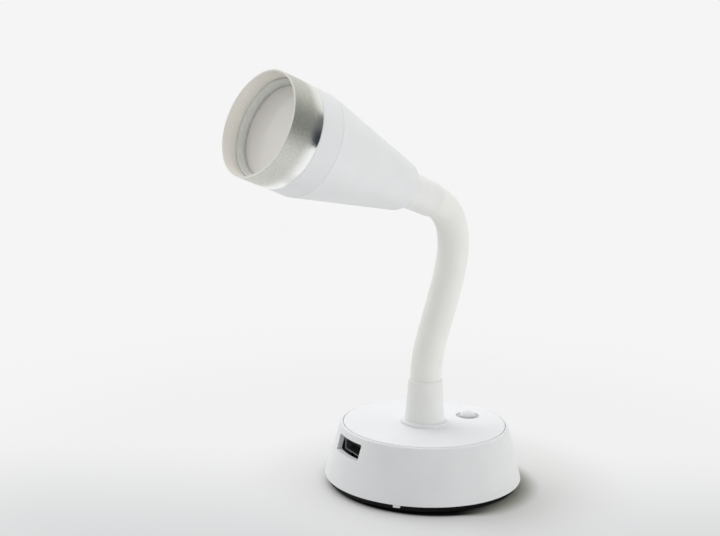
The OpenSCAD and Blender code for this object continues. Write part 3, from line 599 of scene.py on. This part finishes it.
# %% Measure the plate
TOP_BAND = 0.1 * MM
plate = [v.co.copy() for v in nodes["top_plate"].data.vertices]
plate_radius = max(p.xy.length for p in plate)
rim_heights = [p.z for p in plate if p.xy.length > plate_radius - SAME]
plate_low, plate_high = min(rim_heights), max(rim_heights)
collar = [p for p in plate if p.z > plate_high + SAME]
collar_top = max(p.z for p in collar)
collar_outer = max(p.xy.length for p in collar)
near_top = [p.xy.length for p in plate if p.z > plate_high - TOP_BAND]
collar_bore = min(radius for radius in near_top if radius < plate_radius / 2)
neck_hole = min(p.xy.length for p in plate)
button_axis = Vector((*middle("button_cap").xy, 0))
button_hole = min((p - button_axis).xy.length for p in plate)
print("collar", [round(size / MM, 2) for size in (collar_bore, collar_outer, collar_top)])
print("hole for the button", round(button_hole / MM, 2))

# %% Turn the plate and cut the dish
GROOVE_DEPTH = 0.6 * MM
PLATE_PROUD = 0.15 * MM
PLATE_EDGE = 0.12 * MM
SEAT_REACH = 0.26 * MM
COLLAR_EDGE = 0.45 * MM
COLLAR_BORE_EDGE = 0.4 * MM
DISH_RADIUS = 4.6 * MM
DISH_FLOOR = 0.3 * MM
plate_top = plate_high + PLATE_PROUD
seat_radius = plate_radius + SEAT_REACH
plate_outline = [
    (neck_hole, plate_low, 0),
    (seat_radius, plate_low, HAIR),
    (seat_radius, plate_high - GROOVE_DEPTH, 0),
    (plate_radius, plate_high - GROOVE_DEPTH, 0),
    (plate_radius, plate_top, PLATE_EDGE),
    (collar_outer, plate_top, 2 * HAIR),
    (collar_outer, collar_top, COLLAR_EDGE),
    (collar_bore, collar_top, COLLAR_BORE_EDGE),
    (collar_bore, plate_high, 0),
    (neck_hole, plate_high, 0),
]
cover_plate = turned_part("plate", rounded(plate_outline), "white_abs_gloss", on_base, steps=256)
cutter_outline = [
    (0, plate_low - MM),
    (button_hole, plate_low - MM),
    (button_hole, plate_low + DISH_FLOOR),
    (DISH_RADIUS, plate_low + DISH_FLOOR),
    (DISH_RADIUS, plate_top + MM),
    (0, plate_top + MM),
]
at_button = Matrix.Translation(button_axis)
cutter = turned_part(
    "cutter", cutter_outline, "white_abs_gloss", at_button, steps=96, closed=False
)
cut = cover_plate.modifiers.new("cut", "BOOLEAN")
cut.operation = "DIFFERENCE"
cut.solver = "EXACT"
cut.object = cutter
cover_mesh = applied(cover_plate)
bpy.data.objects.remove(cutter)

# %% Add the posts
work = bmesh.new()
work.from_mesh(nodes["top_plate"].data)
bmesh.ops.remove_doubles(work, verts=work.verts, dist=1 * UM)
above = [f for f in work.faces if min(v.co.z for v in f.verts) > plate_low - SAME]
bmesh.ops.delete(work, geom=above, context="FACES")
work.from_mesh(cover_mesh)
work.to_mesh(cover_mesh)
work.free()
cover_plate.data = cover_mesh
finish_mesh(cover_mesh, "white_abs_gloss")
cover_mesh.set_sharp_from_angle(angle=math.radians(30))
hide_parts("top_plate")
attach(cover_plate, "base")
print("plate faces", len(cover_mesh.polygons))


# %% [markdown]
# ## The button
# The button is one piece of milky acrylic. A low dome rises from a flat ring that nearly fills
# the dish, and a body below it goes through the plate to a flange and a stem, which presses
# the switch.

# %% Turn the button
cap = [((v.co - button_axis).xy.length, v.co.z) for v in nodes["button_cap"].data.vertices]
stem_low, cap_top = min(z for r, z in cap), max(z for r, z in cap)
stem_radius = max(r for r, z in cap if z < stem_low + SAME)
flange_radius = max(r for r, z in cap)
flange = [z for r, z in cap if r > flange_radius - SAME]
flange_low, flange_high = min(flange), max(flange)
body_radius = max(r for r, z in cap if z > flange_high + SAME)
RING_RADIUS = DISH_RADIUS - 0.12 * MM
RING_THICK = 0.3 * MM
DOME_FOOT = 0.15 * MM
DOME_STEPS = 12
cap_outline = rounded(
    [
        (0, stem_low, 0),
        (stem_radius, stem_low, 1.5 * HAIR),
        (stem_radius, flange_low, 0),
        (flange_radius, flange_low, HAIR),
        (flange_radius, flange_high, HAIR),
        (body_radius, flange_high, 0),
        (body_radius, plate_high - RING_THICK, 0),
        (RING_RADIUS, plate_high - RING_THICK, 0.5 * HAIR),
        (RING_RADIUS, plate_high, HAIR),
        (DOME_RADIUS + DOME_FOOT, plate_high, 0),
    ]
)
dome_height = cap_top - plate_high
for k in range(1, DOME_STEPS + 1):
    turn = 0.5 * math.pi * k / DOME_STEPS
    height = plate_high + dome_height * math.sin(turn)
    cap_outline.append(Vector((DOME_RADIUS * math.cos(turn), height)))
cap_outline[-1].x = 0
dome = turned_part("button", cap_outline, "button_silicone", at_button, steps=96, closed=False)
dome.data.set_sharp_from_angle(angle=math.radians(50))
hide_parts("button_cap")
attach(dome, "button")


# %% [markdown]
# ## The socket's shell
# The socket is a strip of steel sheet bent into a flat tube with rounded corners. Its front
# edge is broken, and shows as a bright line inside the opening.

# %% Measure the socket
outward = Vector((*middle("usb_shell").xy, 0)).normalized()
socket_axes = Matrix((Vector((-outward.y, outward.x, 0)), -outward, Vector((0, 0, 1))))
at_socket = socket_axes.transposed().to_4x4()
in_socket = [at_socket.inverted() @ v.co for v in nodes["usb_shell"].data.vertices]
socket_low = Vector([min(p[k] for p in in_socket) for k in range(3)])
socket_high = Vector([max(p[k] for p in in_socket) for k in range(3)])
socket_length = socket_high.y - socket_low.y

# %% Bend the socket's shell
SHEET = 0.3 * MM
CORNER = 0.9 * MM
CORNER_STEPS = 6
EDGE_BREAK = 0.06 * MM
EDGE_GUARD = 0.5 * MM


def flat_loop(depth, grow):
    """Points of the shell's section at a depth behind the mouth, grown outwards."""
    low = socket_low - Vector((grow, 0, grow))
    high = socket_high + Vector((grow, 0, grow))
    corner = CORNER + grow
    points = []
    for side_x, side_z, start in ((1, 1, 0), (-1, 1, 90), (-1, -1, 180), (1, -1, 270)):
        centre_x = high.x - corner if side_x > 0 else low.x + corner
        centre_z = high.z - corner if side_z > 0 else low.z + corner
        for k in range(CORNER_STEPS + 1):
            angle = math.radians(start + 90 * k / CORNER_STEPS)
            x = centre_x + corner * math.cos(angle)
            z = centre_z + corner * math.sin(angle)
            points.append((x, socket_low.y + depth, z))
    return points


loops = [
    flat_loop(socket_length - SHEET, -SHEET),
    flat_loop(EDGE_GUARD, -SHEET),
    flat_loop(EDGE_BREAK, -0.8 * SHEET),
    flat_loop(0, -0.5 * SHEET),
    flat_loop(EDGE_BREAK, -0.2 * SHEET),
    flat_loop(EDGE_GUARD, 0),
    flat_loop(socket_length, 0),
]
work = bmesh.new()
rings = [[work.verts.new(p) for p in loop] for loop in loops]
for ring, following in zip(rings, rings[1:]):
    for k in range(len(ring)):
        nxt = (k + 1) % len(ring)
        work.faces.new((ring[k], ring[nxt], following[nxt], following[k]))
work.faces.new(rings[0])
work.faces.new(rings[-1])
socket_mesh = bpy.data.meshes.new("socket_shell")
work.to_mesh(socket_mesh)
work.free()
finish_mesh(socket_mesh, "socket_steel")
socket_mesh.set_sharp_from_angle(angle=math.radians(40))
socket_mesh.transform(at_socket)
socket_shell = bpy.data.objects.new("socket_shell", socket_mesh)
bpy.context.scene.collection.objects.link(socket_shell)
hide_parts("usb_shell")
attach(socket_shell, "base")


# %% [markdown]
# ## The retainer, the diffuser and the band
# Behind the rim a moulded ring holds the diffuser. Its front falls in a deep step to a thin
# lip, which shows as a fine pale line around the light. The diffuser is a plain milky disc, and
# the white band behind the rim has its edges broken on both sides of the seam.

# %% Turn the retainer
STEP_WIDTH = 0.5 * MM
STEP_DEPTH = 1.3 * MM
low, high, bore, outer = reach("lens_retainer", on_head)
retainer_outline = [
    (bore, low, 0),
    (outer, low, 0),
    (outer, high, HAIR),
    (bore + STEP_WIDTH, high, 2 * HAIR),
    (bore + STEP_WIDTH, high - STEP_DEPTH, 0),
    (bore, high - STEP_DEPTH, HAIR),
]
retainer = turned_part("retainer", rounded(retainer_outline), "retainer_abs", on_head)
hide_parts("lens_retainer")
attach(retainer, "head")

# %% Turn the diffuser
low, high, _, lens_radius = reach("diffuser", on_head)
disc = [(0, low, 0), (lens_radius, low, HAIR), (lens_radius, high, HAIR), (0, high, 0)]
lens = turned_part("lens", rounded(disc), "diffuser_pmma", on_head, closed=False)
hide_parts("diffuser")
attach(lens, "head")

# %% Turn the band
BAND_WALL = 2 * MM
BAND_EDGE = 0.2 * MM
BAND_GAP = 0.1 * MM
low, nose_top, nose_bore, outer = reach("front_band", on_head)
shoulder = ring_low - RIM_REACH
bore_end = reach("head_shell", on_head)[1] + BAND_GAP
band_outline = [
    (outer - BAND_WALL, low, 0),
    (outer, low, BAND_EDGE),
    (outer, shoulder, BAND_EDGE),
    (lens_radius, shoulder, 0),
    (lens_radius, nose_top, 0),
    (nose_bore, nose_top, 0),
    (nose_bore, bore_end, 0),
    (outer - BAND_WALL, bore_end, 0),
]
band = turned_part("band", rounded(band_outline), "white_abs", on_head)
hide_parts("front_band")
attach(band, "head")


# %% [markdown]
# ## Parts that follow the neck
# The sleeve, the conduit in it and the two wires all follow the centre line. Each is made
# straight and upright first, with its height standing for the distance along the neck. A
# second tree then bends it: it samples the centre line at each point's height and sets the
# point out sideways from there. Each length is cut in the middle of a link, so that one
# piece spans one knuckle.

# %% The bending tree
def bending_tree():
    """Geometry Nodes tree that bends an upright mesh along a path in the YZ plane."""
    tree, given = open_shape_tree(
        "bend along the neck", Geometry="Geometry", Path="Object", Lead="Float", Finish="Material"
    )
    path = add_node(tree, "GeometryNodeObjectInfo", {"Object": given["Path"]}, "Geometry")
    spot = add_node(tree, "GeometryNodeInputPosition", out="Position")
    upright = add_node(tree, "ShaderNodeSeparateXYZ", {"Vector": spot}).outputs
    along = add_node(
        tree, "ShaderNodeMath", {0: upright["Z"], 1: given["Lead"]}, "Value", operation="ADD"
    )
    on_path = add_node(
        tree, "GeometryNodeSampleCurve", {"Curves": path, "Length": along}, mode="LENGTH"
    ).outputs
    side = (1.0, 0.0, 0.0)
    pair = {0: on_path["Tangent"], 1: side}
    depth = add_node(tree, "ShaderNodeVectorMath", pair, "Vector", operation="CROSS_PRODUCT")
    place = on_path["Position"]
    for axis, amount in ((side, upright["X"]), (depth, upright["Y"])):
        scaling = {0: axis, "Scale": amount}
        step = add_node(tree, "ShaderNodeVectorMath", scaling, "Vector", operation="SCALE")
        place = add_node(tree, "ShaderNodeVectorMath", {0: place, 1: step}, "Vector")
    placing = {"Geometry": given["Geometry"], "Position": place}
    moved = add_node(tree, "GeometryNodeSetPosition", placing, "Geometry")
    close_shape_tree(tree, moved, given["Finish"])
    return tree


bend_along = bending_tree()

# %% The centre line as a curve
PATH_STEP = 0.2 * MM
SPARE_STEPS = 5
board_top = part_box("main_board")[1].z
wire_start = board_top - neck_foot.z
wire_end = reach("neck_wires_7", on_head)[1] + neck_length
path_steps = round((wire_end - wire_start) / PATH_STEP) + 2 * SPARE_STEPS
path_start = wire_start - SPARE_STEPS * PATH_STEP

path_curve = bpy.data.curves.new("centre line", "CURVE")
path_curve.dimensions = "3D"
spline = path_curve.splines.new("POLY")
spline.points.add(path_steps)
for i in range(path_steps + 1):
    spline.points[i].co = (*on_neck(path_start + i * PATH_STEP)[0], 1)
centre_line = bpy.data.objects.new("centre line", path_curve)
bpy.context.scene.collection.objects.link(centre_line)

# %% One piece for each knuckle
half_link = knuckle_at[0]


def joined(name, parts):
    """One mesh of the meshes of several parts, which are removed."""
    work = bmesh.new()
    for part in parts:
        work.from_mesh(part.data)
        bpy.data.objects.remove(part)
    mesh = bpy.data.meshes.new(name)
    work.to_mesh(mesh)
    work.free()
    return mesh


def along_neck(name, outline_of, start, end, slot, places=(on_base,), steps=96, closed=True):
    """Makes a part that follows the neck, as one piece for each knuckle. outline_of gives the
    outline between two distances, and places says where its strands stand across the neck."""
    pieces = []
    for i, knuckle in enumerate(knuckle_at):
        low = start if i == 0 else knuckle - half_link
        high = end if i == len(knuckle_at) - 1 else knuckle + half_link
        strands = [
            turned_part("strand", outline_of(low, high), slot, place, steps, closed)
            for place in places
        ]
        inputs = {"Path": centre_line, "Lead": -path_start, "Finish": finishes[slot]}
        piece = grown(f"{name}_{i + 1}", bend_along, inputs, joined("upright", strands))
        finish_mesh(piece.data, slot)
        piece.data.set_sharp_from_angle(angle=math.radians(60))
        pieces.append(piece)
    return pieces


def blend_over(piece, number):
    """Bakes a piece's placement into its mesh. It also finds where its knuckle's links end on
    the centre line, but nothing uses that."""
    low, facing_low = on_neck(knuckle_at[number - 1] - half_link)
    high, facing_high = on_neck(knuckle_at[number - 1] + half_link)
    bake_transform(piece)


def stand_in(piece, nodes_name, number):
    """Hides the model's links that a piece stands in for, and bakes the piece's placement. There
    is one link more than there are knuckles, so the last piece hides two."""
    names = [f"{nodes_name}_{number - 1}"]
    if number == len(knuckles):
        names.append(f"{nodes_name}_{number}")
    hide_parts(*names)
    blend_over(piece, number)


# %% The sleeve
RING_STEP = 0.3 * MM
SLEEVE_BORE = 4.1 * MM
SLEEVE_INSERT = 12 * MM
sleeve_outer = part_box("neck_sleeve_3")[1].x
sleeve_start = -SLEEVE_INSERT
sleeve_end = neck_length + SLEEVE_INSERT
print("sleeve radius", round(sleeve_outer / MM, 3))


def ring_heights(low, high, count):
    """Heights that split a length into equal steps."""
    return [low + (high - low) * k / count for k in range(count + 1)]


def tube(low, high):
    """Outline of the sleeve, with rings close enough together to bend well."""
    heights = ring_heights(low, high, round((high - low) / RING_STEP))
    return [(sleeve_outer, z) for z in heights] + [(SLEEVE_BORE, z) for z in reversed(heights)]


sleeve = along_neck("sleeve", tube, sleeve_start, sleeve_end, "sleeve_silicone")
for i, piece in enumerate(sleeve, 1):
    stand_in(piece, "neck_sleeve", i)

# %% The conduit
CORE_BORE = 2.1 * MM
CORE_INSERT = SLEEVE_INSERT + 2.5 * MM
WIND_PITCH = 1.6 * MM
WIND_DEPTH = 0.25 * MM
WIND_STEPS = 8
core_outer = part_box("neck_core_3")[1].x


def wound(low, high):
    """Outline of a conduit wound from strip, which shows as close rounded ridges."""
    heights = ring_heights(low, high, round((high - low) / WIND_PITCH) * WIND_STEPS)
    ridges = []
    for k, z in enumerate(heights):
        hollow = WIND_DEPTH * (1 - abs(math.sin(math.pi * k / WIND_STEPS)))
        ridges.append((core_outer - hollow, z))
    return ridges + [(CORE_BORE, z) for z in reversed(heights)]


conduit = along_neck(
    "conduit", wound, -CORE_INSERT, neck_length + CORE_INSERT, "conduit_steel", steps=64
)
for i, piece in enumerate(conduit, 1):
    stand_in(piece, "neck_core", i)

# %% The two wires
WIRE_RADIUS = 0.8 * MM
WIRE_OFFSET = 0.9 * MM


def solid_wire(low, high):
    """Outline of a solid round wire, open on its axis."""
    heights = ring_heights(low, high, round((high - low) / RING_STEP))
    return [(0, low)] + [(WIRE_RADIUS, z) for z in heights] + [(0, high)]


beside = [Matrix.Translation((0, side * WIRE_OFFSET, 0)) for side in (-1, 1)]
wires = along_neck(
    "wires", solid_wire, wire_start, wire_end, "wire_pvc", beside, steps=24, closed=False
)
for i, piece in enumerate(wires, 1):
    stand_in(piece, "neck_wires", i)


# %% [markdown]
# ## Camera
# The camera looks down on the lamp from the front right, with a long lens, so that the lines
# of the base hardly converge.

# %% Place the camera
CAMERA_PLACE = Vector((394.4, -341.4, 186.6)) * MM
CAMERA_LOOK = Vector((-0.7732, 0.6041, -0.1933)).normalized()
CAMERA_ROLL = math.radians(1.317)
LENS = 70
SENSOR = 36
UP = Vector((0, 0, 1))

right = CAMERA_LOOK.cross(UP).normalized()
up = right.cross(CAMERA_LOOK)
upright_view = Matrix((right, up, -CAMERA_LOOK)).transposed().to_4x4()
rolled = Matrix.Rotation(CAMERA_ROLL, 4, "Z")
camera = bpy.data.objects.new("camera", bpy.data.cameras.new("camera"))
camera.data.lens = LENS
camera.data.sensor_width = SENSOR
camera.data.clip_end = 100
camera.matrix_world = Matrix.Translation(CAMERA_PLACE) @ upright_view @ rolled
bpy.context.scene.collection.objects.link(camera)
bpy.context.scene.camera = camera

# %% [markdown]
# ## Studio
# The lamp stands on a large pale sheet in an evenly lit white room. The room is darker on
# the side from which it is seen, and that is what shapes a white object: its edges stay light
# and its near side turns a soft grey. Polished parts see a few grey cards besides, which give
# them the dark bands that show them as polished.

# %% Directions and fading tones
towards_front = Vector((-CAMERA_LOOK.x, -CAMERA_LOOK.y, 0)).normalized()


def room_direction(azimuth, elevation):
    """Direction in the room. Azimuth runs from straight behind the lamp, as the camera sees it,
    to the right, in degrees."""
    turned = -towards_front @ Matrix.Rotation(math.radians(azimuth), 3, "Z")
    lift = math.radians(elevation)
    return turned * math.cos(lift) + UP * math.sin(lift)


def fading(tree, value, first, full, near, far):
    """Colour that turns smoothly from near to far as a value goes from first to full."""
    span = {"Value": value, "From Min": first, "From Max": full}
    share = add_node(tree, "ShaderNodeMapRange", span, "Result", interpolation_type="SMOOTHSTEP")
    tones = {"Factor": share, "A": near, "B": far}
    return add_node(tree, "ShaderNodeMix", tones, "Result", data_type="RGBA")


# %% The room's light
AMBIENT = 0.05
# azimuth, elevation, how narrow it is, strength
ROOM_LIGHTS = {
    "key window": (-45, 42, 4, 2.5),
    "light wall behind": (20, 50, 3, 0.62),
    "fill from the right": (85, 12, 6, 1.6),
    "fill from the right front": (135, 10, 6, 0.9),
    "fill from the front": (180, 10, 6, 1.1),
}
world = bpy.data.worlds.new("white room")
bpy.context.scene.world = world
world.use_nodes = True
tree = world.node_tree
tree.nodes.clear()
direction = add_node(tree, "ShaderNodeTexCoord", out="Generated")


def glow_from(tree, towards, narrow, strength):
    """Light that is strongest in one direction and falls off as a power of the cosine."""
    pair = {0: direction, 1: towards}
    value = add_node(tree, "ShaderNodeVectorMath", pair, "Value", operation="DOT_PRODUCT")
    for step, number in (("MAXIMUM", 0.0), ("POWER", narrow), ("MULTIPLY", strength)):
        value = add_node(tree, "ShaderNodeMath", {0: value, 1: number}, "Value", operation=step)
    return value


light = AMBIENT
for azimuth, elevation, narrow, strength in ROOM_LIGHTS.values():
    glow = glow_from(tree, room_direction(azimuth, elevation), narrow, strength)
    light = add_node(tree, "ShaderNodeMath", {0: light, 1: glow}, "Value", operation="ADD")

# %% What polished parts see
# azimuth, elevation, cosine at the card's edge, cosine where it is full, colour
CARDS = {
    "pale card at the right": (102, 0, 0.3, 0.85, "#dadbd4"),
    "grey card above it": (104, 28, 0.85, 0.95, "#5a5c5c"),
    "dark card below it": (105, -8, 0.89, 0.98, "#232936"),
}
dim_front = glow_from(tree, room_direction(180, 20), 3, 0.6)
front_tones = {"Factor": dim_front, "A": srgb("#ededea"), "B": srgb("#8b8f94")}
mirrored = add_node(tree, "ShaderNodeMix", front_tones, "Result", data_type="RGBA")
for azimuth, elevation, edge, full, card in CARDS.values():
    pair = {0: direction, 1: room_direction(azimuth, elevation)}
    facing = add_node(tree, "ShaderNodeVectorMath", pair, "Value", operation="DOT_PRODUCT")
    mirrored = fading(tree, facing, edge, full, mirrored, srgb(card))

seen = add_node(tree, "ShaderNodeLightPath").outputs
room = light
for ray, tone in (("Is Glossy Ray", mirrored), ("Is Camera Ray", srgb("#f5f5f5"))):
    tones = {"Factor": seen[ray], "A": room, "B": tone}
    room = add_node(tree, "ShaderNodeMix", tones, "Result", data_type="RGBA")
shining = {"Color": room, "Strength": 1.0}
background = add_node(tree, "ShaderNodeBackground", shining, "Background")
add_node(tree, "ShaderNodeOutputWorld", {"Surface": background})

# %% [markdown]
# ## The sheet
# Close to the foot the sheet is plain paper that takes the lamp's shadow. Further out it shines
# by itself, in a tone that fades into the room, so no edge of the sheet shows. That glow is painted
# darker towards the front, a painted shade in front of the lamp. A dark shade is also painted on
# it under the foot's edge, crisp in front and soft on the right.

# %% Lay the sheet
FLOOR_RADIUS = 420 * MM
floor_mesh = bpy.data.meshes.new("floor")
work = bmesh.new()
bmesh.ops.create_circle(work, cap_ends=True, radius=FLOOR_RADIUS, segments=96)
work.to_mesh(floor_mesh)
work.free()
floor = bpy.data.objects.new("floor", floor_mesh)
bpy.context.scene.collection.objects.link(floor)

# %% Distances on the sheet
RIGHT_STARTS, RIGHT_FULL = 10 * MM, 30 * MM
SHADE_SHIFT = 3.5 * MM
SHADE_TO_RIGHT = 0.75
SOFTER = 5.5 * MM
paper = bpy.data.materials.new("matt white paper")
paper.use_nodes = True
tree = paper.node_tree
tree.nodes.clear()
towards_right = towards_front.cross(-UP)
where = add_node(tree, "ShaderNodeTexCoord", out="Object")
far = add_node(tree, "ShaderNodeVectorMath", {0: where}, "Value", operation="LENGTH")
pair = {0: where, 1: towards_front}
forwards = add_node(tree, "ShaderNodeVectorMath", pair, "Value", operation="DOT_PRODUCT")
pair = {0: where, 1: towards_right}
rightwards = add_node(tree, "ShaderNodeVectorMath", pair, "Value", operation="DOT_PRODUCT")
pair = {0: where, 1: towards_front.lerp(towards_right, SHADE_TO_RIGHT) * SHADE_SHIFT}
from_shade = add_node(tree, "ShaderNodeVectorMath", pair, "Value", operation="DISTANCE")
span = {"Value": rightwards, "From Min": RIGHT_STARTS, "From Max": RIGHT_FULL, "To Max": SOFTER}
softer = add_node(tree, "ShaderNodeMapRange", span, "Result", interpolation_type="SMOOTHSTEP")

# %% The sheet's glow tones and painted shade
FRONT_SHADE_STARTS, FRONT_SHADE_FULL = -50 * MM, 85 * MM
FAR_STARTS, FAR_FULL = 130 * MM, 270 * MM
SHADE_STARTS, SHADE_ENDS = 36.2 * MM, 38.5 * MM
GLOW_STARTS, GLOW_FULL = 37 * MM, 80 * MM
MIRROR_STARTS, MIRROR_FULL = 35 * MM, 60 * MM
# The glow is painted darker towards the front: painted shade in front of the lamp.
sheet_glow_with_front_shade = fading(tree, forwards, FRONT_SHADE_STARTS, FRONT_SHADE_FULL, srgb("#f1f1f1"), srgb("#d9dadb"))
sheet_glow_with_front_shade = fading(tree, far, FAR_STARTS, FAR_FULL, sheet_glow_with_front_shade, srgb("#f5f5f5"))
# Painted shade under the foot's edge: near black in front, a soft grey on the right, with the paper
# around it a touch greyer on the right.
right_span = (rightwards, RIGHT_STARTS, RIGHT_FULL)
painted_foot_shade = fading(tree, *right_span, srgb("#202020"), srgb("#a8a8a0"))
beside_tone = fading(tree, *right_span, srgb("#e0e0e0"), srgb("#dadad9"))
shade_ends = add_node(tree, "ShaderNodeMath", {0: softer, 1: SHADE_ENDS}, "Value", operation="ADD")
shade_tone = fading(tree, from_shade, SHADE_STARTS, shade_ends, painted_foot_shade, beside_tone)
lit = add_node(tree, "ShaderNodeBsdfDiffuse", {"Color": shade_tone}, "BSDF")

# %% Where the sheet shines by itself
seen = add_node(tree, "ShaderNodeLightPath").outputs
tones = {"Factor": seen["Is Glossy Ray"], "A": sheet_glow_with_front_shade, "B": srgb("#fafafa")}
glow_tone = add_node(tree, "ShaderNodeMix", tones, "Result", data_type="RGBA")
glow = add_node(tree, "ShaderNodeEmission", {"Color": glow_tone, "Strength": 1.0}, "Emission")
pair = {0: from_shade, 1: softer}
past_shade = add_node(tree, "ShaderNodeMath", pair, "Value", operation="SUBTRACT")
glowing = 0.0
for distance, starts, full, ray in (
    (past_shade, GLOW_STARTS, GLOW_FULL, "Is Camera Ray"),
    (far, MIRROR_STARTS, MIRROR_FULL, "Is Glossy Ray"),
):
    span = {"Value": distance, "From Min": starts, "From Max": full}
    share = add_node(tree, "ShaderNodeMapRange", span, "Result", interpolation_type="SMOOTHSTEP")
    pair = {0: share, 1: seen[ray]}
    seen_share = add_node(tree, "ShaderNodeMath", pair, "Value", operation="MULTIPLY")
    pair = {0: glowing, 1: seen_share}
    glowing = add_node(tree, "ShaderNodeMath", pair, "Value", operation="MAXIMUM")
surface = add_node(tree, "ShaderNodeMixShader", {0: glowing, 1: lit, 2: glow}, "Shader")
add_node(tree, "ShaderNodeOutputMaterial", {"Surface": surface})
floor_mesh.materials.append(paper)

# %% Colour management
bpy.context.scene.view_settings.view_transform = "Standard"

# %% Remove the centre line
bpy.data.objects.remove(centre_line)
